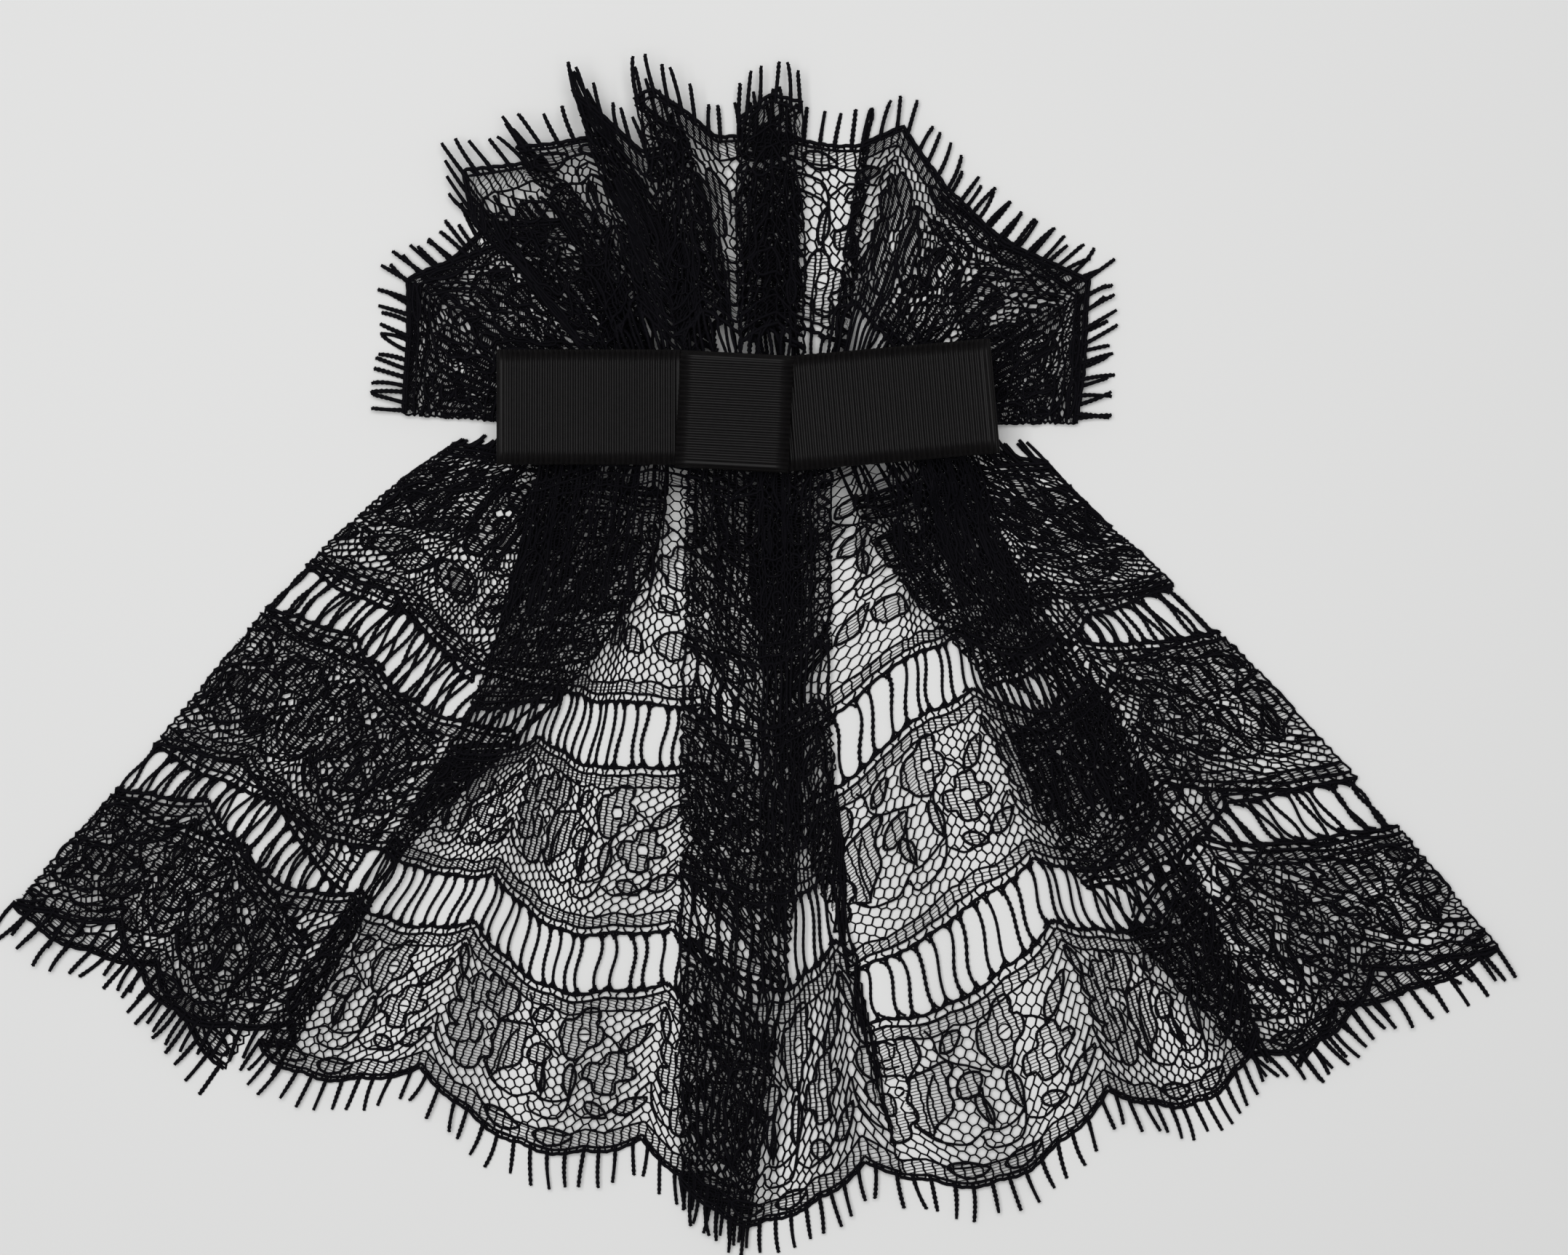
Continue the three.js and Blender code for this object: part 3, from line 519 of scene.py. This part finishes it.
LOW_ROW = [
    leaf(10, 30, 13, 5.6, 0.15, teeth=4), leaf(25.5, 29, 8, 4, -0.5),
    leaf(33, 31, 9, 4.6, 0.5, teeth=3), leaf(46, 30, 12, 5.4, -0.2, teeth=4),
]
LOBE_ROW = [leaf(21.5, 28.4, 9, 3.6, 0.1), leaf(33.5, 28.6, 9, 3.6, -0.1)]
bands = [
    Band(*edges, drop, extra)
    for edges, drop, extra in zip(BANDS, (8, 5.2, 4.4), (LOW_ROW, [], LOBE_ROW))
]
print("filled motifs in each band:", [len(band.outlines) for band in bands])


# %% Draw the ground net
def draw_net(band):
    rows = round((band.bottom - band.top + 3) / NET_ROW)
    f = np.linspace(0, 1, rows)[None, :]
    x0 = (np.arange(COLUMNS)[:, None] + 0.5) * PITCH
    upper, lower = scalloped(x0, band.top, band.top_size), scalloped(x0, band.bottom, band.bottom_size)
    y = upper * (1 - f) + lower * f
    lean = (-1.0) ** (np.arange(COLUMNS)[:, None] + np.arange(rows)[None, :])
    x = x0 + lean * np.where(band.filled(x0 + 0 * y, y), FILLED_LEAN, LEAN)
    for ex, ey, r in band.eyes:
        round_eye = r + 0.15
        near = np.hypot(x - ex, y - ey) < round_eye
        side = np.where(x < ex, -1, 1)
        x = np.where(near, ex + side * np.sqrt(np.maximum(round_eye**2 - (y - ey) ** 2, 0)), x)
    tile.add(x, y, UPRIGHT)

    next_x = np.concatenate([x[1:], x[:1] + TILE])
    next_y = np.concatenate([y[1:], y[:1]])
    middle = (x + next_x) / 2
    from_top, from_bottom = band.from_edges(middle, y)
    tied = (lean > 0) & ~band.filled(middle, y) & (from_top > HEADING[0]) & (from_bottom > HEADING[0])
    tie_x, tie_y = np.stack([x[tied], next_x[tied]], 1), np.stack([y[tied], next_y[tied]], 1)
    tile.add(tie_x, tie_y, TIE, 0.02)


for band in bands:
    draw_net(band)
print(len(tile.flat()), "points in the net")


# %% Fill the motifs
def draw_filling(band):
    across = np.arange(0, TILE + 0.01, 0.25)
    for depth in np.arange(band.top, band.deepest + 1, FILL_ROW):
        full = band.filled(across, np.full(len(across), depth))
        edges = np.diff(np.concatenate([[0], full.astype(int), [0]]))
        for a, b in zip(np.nonzero(edges > 0)[0], np.nonzero(edges < 0)[0] - 1):
            if b > a:
                points = 2 + int((across[b] - across[a]) / 3.2)
                xs = np.linspace(across[a] - 0.1, across[b] + 0.1, points)
                tile.add(xs, np.full(len(xs), depth), FILLING, 0.13)


for band in bands:
    draw_filling(band)
print(len(tile.flat()), "points with the filling")


# %% Lay cords round motifs, eyes and edges
def draw_cords(band):
    for line in band.outlines:
        line = closely(np.concatenate([line, line[:1]]), BEAD)
        line[1:-1] += rng.uniform(-0.09, 0.09, line[1:-1].shape)
        tile.add(line[:, 0], line[:, 1], OUTLINE, 0.2)
    for line in band.cords:
        line = closely(line, BEAD)
        tile.add(line[:, 0], line[:, 1], LOOSE_CORD, 0.18)
    for ex, ey, r in band.eyes:
        a = np.linspace(0, 2 * np.pi, 13)
        tile.add(ex + (r + 0.1) * np.cos(a), ey + (r + 0.1) * np.sin(a), EYE_CORD, 0.15)

    x = np.linspace(0, TILE, 61)
    wavy = 0.12 * np.sin(2 * np.pi * x / 3)
    arcs = 0.5 * np.abs(np.sin(np.pi * x / 9))
    for depth, size, heading, inward in (
        (band.top, band.top_size, HEADING, 1), (band.bottom, band.bottom_size, band.low, -1),
    ):
        edge = scalloped(x, depth, size)
        lines = edge + wavy, edge + inward * heading[0], edge + inward * (heading[1] + arcs)
        for y, radius in zip(lines, EDGE_CORDS):
            tile.add(x, y, radius, 0.15)


for band in bands:
    draw_cords(band)
print(len(tile.flat()), "points in all, with the cords")

# %% [markdown]
# ### Ladders and lashes
# A ladder is crossed by cords 3.6 mm apart on the tile, each twisted from two strands and forked where
# it joins the cord of the band. The hem ends in lashes: the clipped ends of such cords, 8 to 9 mm long.

# %% Draw the twisted cords
STRAND, FORK, LASH = 0.3, 0.28, 0.42
TWIST = 2.2
LADDER_CORDS, LASHES = 15, 14
ABOVE_GATHER = (-24, 0)


def twisted(x, y, radius, spread):
    steps = np.cumsum(np.hypot(np.diff(x), np.diff(y)), 1)
    length = np.concatenate([np.zeros((x.shape[0], 1)), steps], 1)
    phase = 2 * np.pi * length / TWIST + rng.uniform(0, 6, (x.shape[0], 1))
    for strand in (0, np.pi):
        tile.add(x + spread * np.cos(phase + strand), y, radius, 0.2 + spread * np.sin(phase + strand))


def draw_ladder(upper, lower):
    number = np.arange(LADDER_CORDS)[:, None]
    x0 = (number + 0.5) * TILE / LADDER_CORDS + 0.3 * (-1.0) ** number
    first, last = scalloped(x0, *upper), scalloped(x0, *lower)
    f = np.linspace(0, 1, 13)[None, :]
    slant = rng.uniform(-0.9, 0.9, (LADDER_CORDS, 1))
    bend = rng.uniform(-0.6, 0.6, (LADDER_CORDS, 1))
    x = x0 + slant * (f - 0.5) + bend * np.sin(np.pi * f) + 0.42 * np.sin(2 * np.pi * f)
    twisted(x, first * (1 - f) + last * f, STRAND, 0.23)
    g = np.linspace(0, 1, 5)[None, :]
    for side in (-1.3, 1.3):
        tile.add(x[:, :1] + side * g**2, first + 1.7 * (1 - g), FORK, 0.15)
        tile.add(x[:, -1:] + side * g**2, last - 1.7 * (1 - g), FORK, 0.15)


for upper, lower in zip([ABOVE_GATHER, BANDS[0][2:], BANDS[1][2:]], [edges[:2] for edges in BANDS]):
    draw_ladder(upper, lower)
print(3 * LADDER_CORDS, "ladder cords in the tile")

# %% Draw the lashes
x0 = (np.arange(LASHES)[:, None] + 0.5) * TILE / LASHES + rng.uniform(-0.4, 0.4, (LASHES, 1))
f = np.linspace(0, 1, 9)[None, :]
lash_x = x0 + rng.uniform(-1.4, 1.4, (LASHES, 1)) * f**2
lash_y = scalloped(x0, *BANDS[2][2:]) - 1 + rng.uniform(7.6, 9, (LASHES, 1)) * f
twisted(lash_x, lash_y, LASH * (1 - 0.25 * f), 0.2)
drawing = tile.flat()
print(len(drawing), "points in the whole tile")

# %% [markdown]
# ## From drawing to cloth
# The tile is set between each two valleys of the hem, squeezed or stretched to the lobe's width, and
# every point is placed by its run and depth. A little waviness keeps the repeats from looking printed,
# and close to the gather the threads bunch. The slip of a fold line fades out towards the hem.
# A thread becomes a tube with three sides, which is enough for something this thin. It is pressed to
# 0.4 of its width, which is a guess, because a photo from above doesn't show how flat the threads are.

# %% Set the tile along a cloth and make tubes
SHORT_TOP = 17.0
SIDES, FLATTEN = 3, 0.4
BUNCH_REACH = 30
SLIP_FADE = 0.3


def set_along(cloth, valleys, heights, short):
    found = []
    tile_x, tile_y, radius, lift, number = drawing.T
    hem = cloth.depths[-1]
    if short:
        start, stop = scalloped(tile_x, *BANDS[2][:2]), scalloped(tile_x, *BANDS[2][2:])
        stretched = SHORT_TOP + (tile_y - start) / (stop - start) * (hem - SHORT_TOP)
        depth = np.where(tile_y > start, np.minimum(stretched, hem), tile_y - start + SHORT_TOP)
        depth += np.maximum(tile_y - stop, 0)
    else:
        depth = tile_y
    threads = number.max() + 1
    for k in range(len(valleys) - 1):
        run = valleys[k] + tile_x / TILE * (valleys[k + 1] - valleys[k])
        found.append(np.stack([run, depth, radius, lift, number + k * threads], 1))
    run, depth, radius, lift, number = np.concatenate(found).T
    slip = np.interp(run, cloth.runs, cloth.slips)
    depth = depth + slip * np.clip((hem - depth) / (SLIP_FADE * hem), 0, 1)
    shown = (run >= 0) & (run <= cloth.runs[-1]) & (depth >= 0)
    near = np.exp(-np.maximum(depth, 0) / BUNCH_REACH)
    bunch = near * (1.5 * np.sin(2 * np.pi * run / 10.7) + 0.5 * np.sin(2 * np.pi * run / 3.9 + 1))
    sideways = 0.35 * np.sin(depth / 7.3 + run / 13) + 0.22 * np.sin(depth / 3.1 - run / 5.7)
    downwards = 0.4 * np.sin(run / 9.1 + depth / 15) + 0.2 * np.sin(run / 4.3 + 2.1)
    warped_run = np.clip(run + sideways + bunch, 0, cloth.runs[-1])
    warped_depth = np.maximum(depth + downwards, 0)
    places = cloth.place(warped_run, warped_depth)
    z = height_at(heights, warped_run, np.minimum(warped_depth, hem + LOBE + 2))
    points = np.column_stack([places, z + lift + 0.2])
    return {"points": points, "radius": radius, "number": number, "run": run, "shown": shown}


def tubes(threads, chosen, thicker):
    points, radius = threads["points"][chosen], threads["radius"][chosen] * thicker
    number, shown = threads["number"][chosen], threads["shown"][chosen]
    joined = (number[1:] == number[:-1]) & shown[1:] & shown[:-1]
    step = np.diff(points, axis=0) * joined[:, None]
    tangent = np.zeros_like(points)
    tangent[:-1] += step
    tangent[1:] += step
    side = np.cross(tangent, [0.0, 0.02, 1.0])
    side /= np.linalg.norm(side, axis=1, keepdims=True) + 1e-9
    up = np.cross(side, tangent)
    up /= np.linalg.norm(up, axis=1, keepdims=True) + 1e-9
    angles = np.radians(90 + 360 / SIDES * np.arange(SIDES))[None, :, None]
    ring = np.cos(angles) * side[:, None] + FLATTEN * np.sin(angles) * up[:, None]
    rings = points[:, None] + radius[:, None, None] * ring
    used = np.zeros(len(points), bool)
    used[:-1] |= joined
    used[1:] |= joined
    where = np.cumsum(used) - 1
    here = where[np.nonzero(joined)[0]][:, None] * SIDES
    there = where[np.nonzero(joined)[0] + 1][:, None] * SIDES
    corner = np.arange(SIDES)[None, :]
    beside = (corner + 1) % SIDES
    faces = np.stack([here + corner, there + corner, there + beside, here + beside], 2)
    return rings[used].reshape(-1, 3), faces.reshape(-1, 4)


def solid_mesh(name, verts, faces):
    mesh = bpy.data.meshes.new(name)
    mesh.vertices.add(len(verts))
    mesh.vertices.foreach_set("co", (verts * MM).astype(np.float32).ravel())
    mesh.loops.add(faces.size)
    mesh.loops.foreach_set("vertex_index", faces.astype(np.int32).ravel())
    mesh.polygons.add(len(faces))
    mesh.polygons.foreach_set("loop_start", np.arange(0, faces.size, faces.shape[1], dtype=np.int32))
    mesh.polygons.foreach_set("loop_total", np.full(len(faces), faces.shape[1], np.int32))
    mesh.polygons.foreach_set("use_smooth", np.ones(len(faces), bool))
    mesh.update()
    made = bpy.data.objects.new(name, mesh)
    bpy.context.scene.collection.objects.link(made)
    return made


skirt_threads = set_along(skirt, skirt_valleys, skirt_heights, short=False)
crest_threads = set_along(crest, crest_valleys, crest_heights, short=True)
print(len(skirt_threads["points"]), "and", len(crest_threads["points"]), "points on the two cloths")

# %% [markdown]
# ## The lace in its finished pieces
# The skirt is made as five pieces that meet at fold lines, and the crest as two, so that each can be
# looked at alone. The last number of a row makes its threads a little thicker, where the lace in the
# photo is rubbed fuzzy and crumpled. Black thread isn't quite black: it is a very dark grey with a
# little blue, and a soft sheen of fibres at grazing angles.

# %% Thread material
thread = bpy.data.materials.new("lace_thread")
thread.use_nodes = True
nodes, links = thread.node_tree.nodes, thread.node_tree.links
shader = nodes["Principled BSDF"]
shader.inputs["Roughness"].default_value = 0.7
shader.inputs["Specular IOR Level"].default_value = 0.05
shader.inputs["Sheen Weight"].default_value = 0.01
shader.inputs["Sheen Tint"].default_value = (0.6, 0.62, 0.75, 1)
place = nodes.new("ShaderNodeTexCoord")
fuzz = nodes.new("ShaderNodeTexNoise")
fuzz.inputs["Scale"].default_value = 2400
shades = nodes.new("ShaderNodeMix")
shades.data_type = "RGBA"
shades.inputs["A"].default_value = (0.0016, 0.0014, 0.0022, 1)
shades.inputs["B"].default_value = (0.0055, 0.005, 0.0075, 1)
links.new(place.outputs["Object"], fuzz.inputs["Vector"])
links.new(fuzz.outputs["Fac"], shades.inputs["Factor"])
links.new(shades.outputs["Result"], shader.inputs["Base Color"])
print("thread material ready")

# %% Make the pieces of lace
PIECES = [
    ("lace_left_wing", skirt, "left_end", "left_tuck", 1.22),
    ("lace_left_front", skirt, "left_tuck", "centre_tuck_left", 1.08),
    ("lace_centre_pleat", skirt, "centre_tuck_left", "centre_tuck_right", 1.12),
    ("lace_right_front", skirt, "centre_tuck_right", "right_tuck", 1.1),
    ("lace_right_wing", skirt, "right_tuck", "right_end", 1.22),
    ("crest_left", crest, "under_left_top", "gap", 1.25),
    ("crest_right", crest, "gap", "under_right_top", 1.2),
]
SPILL = 2


def threads_between(cloth, threads, a, b):
    starts = np.unique(threads["number"], return_index=True)[1]
    counts = np.diff(np.append(starts, len(threads["run"])))
    middle = np.add.reduceat(threads["run"], starts) / counts
    low = -SPILL if a == 0 else a
    high = np.inf if b == cloth.runs[-1] else b
    return np.repeat((middle >= low) & (middle < high), counts)


for name, cloth, first, last, thicker in PIECES:
    threads, node = (skirt_threads, "lace_skirt") if cloth is skirt else (crest_threads, "lace_crest")
    a, b = cloth.runs[cloth.names.index(first)], cloth.runs[cloth.names.index(last)]
    verts, faces = tubes(threads, threads_between(cloth, threads, a, b), thicker)
    made = solid_mesh(name, verts, faces)
    made.data.materials.append(thread)
    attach(made, "root")
    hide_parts(node)
    print(name, 2 * len(faces), "triangles")

# %% [markdown]
# ## The bow
# The bow is grosgrain ribbon 24 mm wide: ribs about a millimetre apart run across it, because thick
# threads lie across and thin ones wrap them. A loop is a closed ring of ribbon pressed flat, so it is
# made as a path seen from the edge, with the ribs as a small wave along the path.

# %% A ribbon bent along a path
RIB, RIB_RELIEF, BACK_RELIEF = 1.08, 0.34, -0.1
THICK = 0.7
bow_low, bow_high = (np.array(corner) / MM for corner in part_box("bow_knot"))
BOW_CENTRE = np.array([0.0, 0.6, (bow_low[2] + bow_high[2]) / 2])


def even_path(corners, step):
    line = np.array(corners + corners[:1], float)
    return closely(line, step)[:-1]


def arc(x, z, radius, start, end, count=9):
    return [
        (x + radius * math.cos(math.radians(a)), z + radius * math.sin(math.radians(a)))
        for a in np.linspace(start, end, count)
    ]


def ribbon(path, half_width, unevenness):
    ahead, behind = np.roll(path, -1, 0), np.roll(path, 1, 0)
    tangent = ahead - behind
    tangent /= np.linalg.norm(tangent, axis=1, keepdims=True)
    outward = np.stack([tangent[:, 1], -tangent[:, 0]], 1)
    along = np.arange(len(path)) * np.linalg.norm(path[1] - path[0])
    rib = np.abs(np.sin(np.pi * along / RIB)) ** 1.2
    across = np.linspace(-1, 1, 9)
    grids = []
    for depth, relief in ((0.0, RIB_RELIEF), (THICK, BACK_RELIEF)):
        surface = path + (relief * rib - depth)[:, None] * outward
        x = np.repeat(surface[:, :1], len(across), 1)
        y = across[None, :] * (half_width(path[:, :1], across[None, :]) + 0.09 * rib[:, None])
        z = np.repeat(surface[:, 1:], len(across), 1) + unevenness(x, across[None, :])
        grids.append(np.stack([x, y, z], 2))
    rows, columns = len(path), len(across)
    index = np.arange(rows * columns).reshape(rows, columns)
    following = np.roll(index, -1, 0)
    outer = np.stack([index[:, :-1], following[:, :-1], following[:, 1:], index[:, 1:]], 2).reshape(-1, 4)
    inner = outer[:, ::-1] + rows * columns
    sides = []
    for column, order in ((0, 1), (columns - 1, -1)):
        near, far = index[:, column], following[:, column]
        side = np.stack([near, near + rows * columns, far + rows * columns, far], 1)
        sides.append(side[:, ::order])
    verts = np.concatenate([grid.reshape(-1, 3) for grid in grids])
    return verts, np.concatenate([outer, inner] + sides)[:, ::-1]


print("the bow's middle lies", round(float(BOW_CENTRE[2]), 1), "mm above the table")

# %% Ribbon material
grosgrain = bpy.data.materials.new("grosgrain")
grosgrain.use_nodes = True
nodes, links = grosgrain.node_tree.nodes, grosgrain.node_tree.links
shader = nodes["Principled BSDF"]
shader.inputs["Roughness"].default_value = 0.4
shader.inputs["Specular IOR Level"].default_value = 0.11
shader.inputs["Sheen Weight"].default_value = 0.01
shader.inputs["Sheen Tint"].default_value = (0.85, 0.78, 0.74, 1)
place = nodes.new("ShaderNodeTexCoord")
fibres = nodes.new("ShaderNodeTexNoise")
fibres.inputs["Scale"].default_value = 900
fibres.inputs["Detail"].default_value = 4
shades = nodes.new("ShaderNodeMix")
shades.data_type = "RGBA"
shades.inputs["A"].default_value = (0.001, 0.0009, 0.001, 1)
shades.inputs["B"].default_value = (0.006, 0.0052, 0.0056, 1)
links.new(place.outputs["Object"], fibres.inputs["Vector"])
links.new(fibres.outputs["Fac"], shades.inputs["Factor"])
links.new(shades.outputs["Result"], shader.inputs["Base Color"])
print("ribbon material ready")

# %% [markdown]
# ### Two loops and the knot
# The right loop leans up by 5 degrees and is a little longer. Both go under the knot, where the ribbon
# is squeezed narrower and flatter. The knot is the same ribbon wrapped once round, so its ribs run the
# other way, along the bow.

# %% Make the bow
HALF_WIDTH, SQUEEZED_WIDTH = 12.0, 10.9
LOOP_RISE, SQUEEZED_RISE = 2, 1.75
SHOULDER_LENGTH, HIDDEN_END = 0.4, 3.6
KNOT_TALL, KNOT_DEEP, KNOT_CORNER = 12.0, 2.9, 1.4
KNOT_HALF_WIDTH = 11.9
STEP = 0.2


def turned(points, degrees):
    c, s = math.cos(math.radians(degrees)), math.sin(math.radians(degrees))
    return points @ np.array([[c, s, 0], [-s, c, 0], [0, 0, 1]])


def bow_loop(name, reach, shoulder, slant, side, degrees, middle):
    corners = arc(reach - LOOP_RISE, 0, LOOP_RISE, -90, 90)
    corners += [(shoulder, LOOP_RISE), (shoulder - SHOULDER_LENGTH, SQUEEZED_RISE)]
    corners += arc(HIDDEN_END, 0, SQUEEZED_RISE, 90, 270)
    corners += [(shoulder - SHOULDER_LENGTH, -SQUEEZED_RISE), (shoulder, -LOOP_RISE)]

    def half_width(x, y):
        return np.interp(x - shoulder - slant * y, [-0.4, 0.1], [SQUEEZED_WIDTH, HALF_WIDTH])

    def relax(x, y):
        free = np.clip((x - shoulder) / 6, 0, 1)
        return 0.25 * np.sin(x / 6.5 + 1.3 * y) * free * (1 - 0.3 * y * y)

    verts, faces = ribbon(even_path(corners, STEP), half_width, relax)
    verts[:, 0] *= side
    verts[:, 1] *= side
    return solid_mesh(name, turned(verts, degrees) + BOW_CENTRE + [0, middle, 0], faces)


loop_left = bow_loop("bow_left_loop", 50, 11.9, 0.5, -1, 0, middle=0.4)
loop_right = bow_loop("bow_right_loop", 55, 12.0, 1.6, 1, 5, middle=-2)

end, face = KNOT_TALL - KNOT_CORNER, KNOT_DEEP - KNOT_CORNER
corners = []
for x, z, start in ((end, face, 0), (-end, face, 90), (-end, -face, 180), (end, -face, 270)):
    corners += arc(x, z, KNOT_CORNER, start, start + 90)
knot_path = even_path(corners, STEP)
creases = lambda y, x: 0.12 * np.sin(9 * x + 0.2 * y) * np.exp(-((y / 9) ** 4)) - 0.1 * x**2
straight = lambda x, y: np.full(np.broadcast_shapes(x.shape, y.shape), KNOT_HALF_WIDTH)
verts, faces = ribbon(knot_path, straight, creases)
knot = solid_mesh(
    "bow_knot_band", turned(verts[:, [1, 0, 2]], -3) + BOW_CENTRE + [0, -0.5, 0], faces[:, ::-1]
)

for made, node, length in (
    (loop_left, "bow_loop_left", 0.104),
    (loop_right, "bow_loop_right", 0.115),
    (knot, "bow_knot", 0.056),
):
    made.data.materials.append(grosgrain)
    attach(made, "root")
    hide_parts(node)
print("bow made, its top is", round(float(BOW_CENTRE[2] + KNOT_DEEP), 1), "mm above the table")

# %% [markdown]
# ## The clip
# Something has to hold the covering to the hair, and it is hidden below the gather. A plain enamelled
# bar stands for it. Its edges are rounded a little, because no real edge is perfectly sharp.

# %% Make the clip
clip_low, clip_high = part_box("hair_clip")
bpy.ops.mesh.primitive_cube_add(size=1, location=[(a + b) / 2 for a, b in zip(clip_low, clip_high)])
clip = bpy.context.object
clip.name = "clip_bar"
clip.scale = [b - a for a, b in zip(clip_low, clip_high)]
bpy.ops.object.transform_apply(location=False, rotation=False, scale=True)
rounding = clip.modifiers.new("rounding", "BEVEL")
rounding.width = 0.0008
rounding.segments = 4
enamel = bpy.data.materials.new("black_enamel")
enamel.use_nodes = True
enamel.node_tree.nodes["Principled BSDF"].inputs["Base Color"].default_value = (0.02, 0.02, 0.022, 1)
enamel.node_tree.nodes["Principled BSDF"].inputs["Roughness"].default_value = 0.3
clip.data.materials.append(enamel)
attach(clip, "root")
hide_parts("hair_clip")
print("clip", [round(v / MM) for v in clip.dimensions], "mm")

# %% [markdown]
# ## Table, light and camera
# The photo is taken from straight above with one broad soft light, so the shadows are faint and lie
# close to the lace. The camera hangs 90 cm over the table and takes in 336 mm from side to side.

# %% Set the table
bpy.ops.mesh.primitive_plane_add(size=4, location=(0, 0, 0))
floor = bpy.context.object
floor.name = "floor"
pale = bpy.data.materials.new("pale_table")
pale.use_nodes = True
pale.node_tree.nodes["Principled BSDF"].inputs["Base Color"].default_value = (0.79, 0.79, 0.785, 1)
pale.node_tree.nodes["Principled BSDF"].inputs["Roughness"].default_value = 0.9
floor.data.materials.append(pale)
print("the table is", round(floor.dimensions.x), "m wide")

# %% Light it and look down on it
light_data = bpy.data.lights.new("soft_top", "AREA")
light_data.size = 0.9
light_data.energy = 10.5
light = bpy.data.objects.new("soft_top", light_data)
bpy.context.scene.collection.objects.link(light)
light.location = (-0.1, 0.1, 1.1)
light.rotation_euler = (math.radians(-5.2), math.radians(-5.2), 0)

world = bpy.data.worlds.new("studio")
world.use_nodes = True
world.node_tree.nodes["Background"].inputs["Color"].default_value = (0.94, 0.945, 0.95, 1)
world.node_tree.nodes["Background"].inputs["Strength"].default_value = 0.26
bpy.context.scene.world = world
bpy.context.scene.view_settings.view_transform = "Standard"

camera_data = bpy.data.cameras.new("camera")
camera_height, view_width = 0.9, 0.3363
camera_data.sensor_width = 36
camera_data.lens = 36 * camera_height / view_width
camera = bpy.data.objects.new("camera", camera_data)
bpy.context.scene.collection.objects.link(camera)
camera.location = (0.01045, -0.0455, camera_height)
bpy.context.scene.camera = camera
print("the camera sees", round(view_width / MM), "mm from side to side")
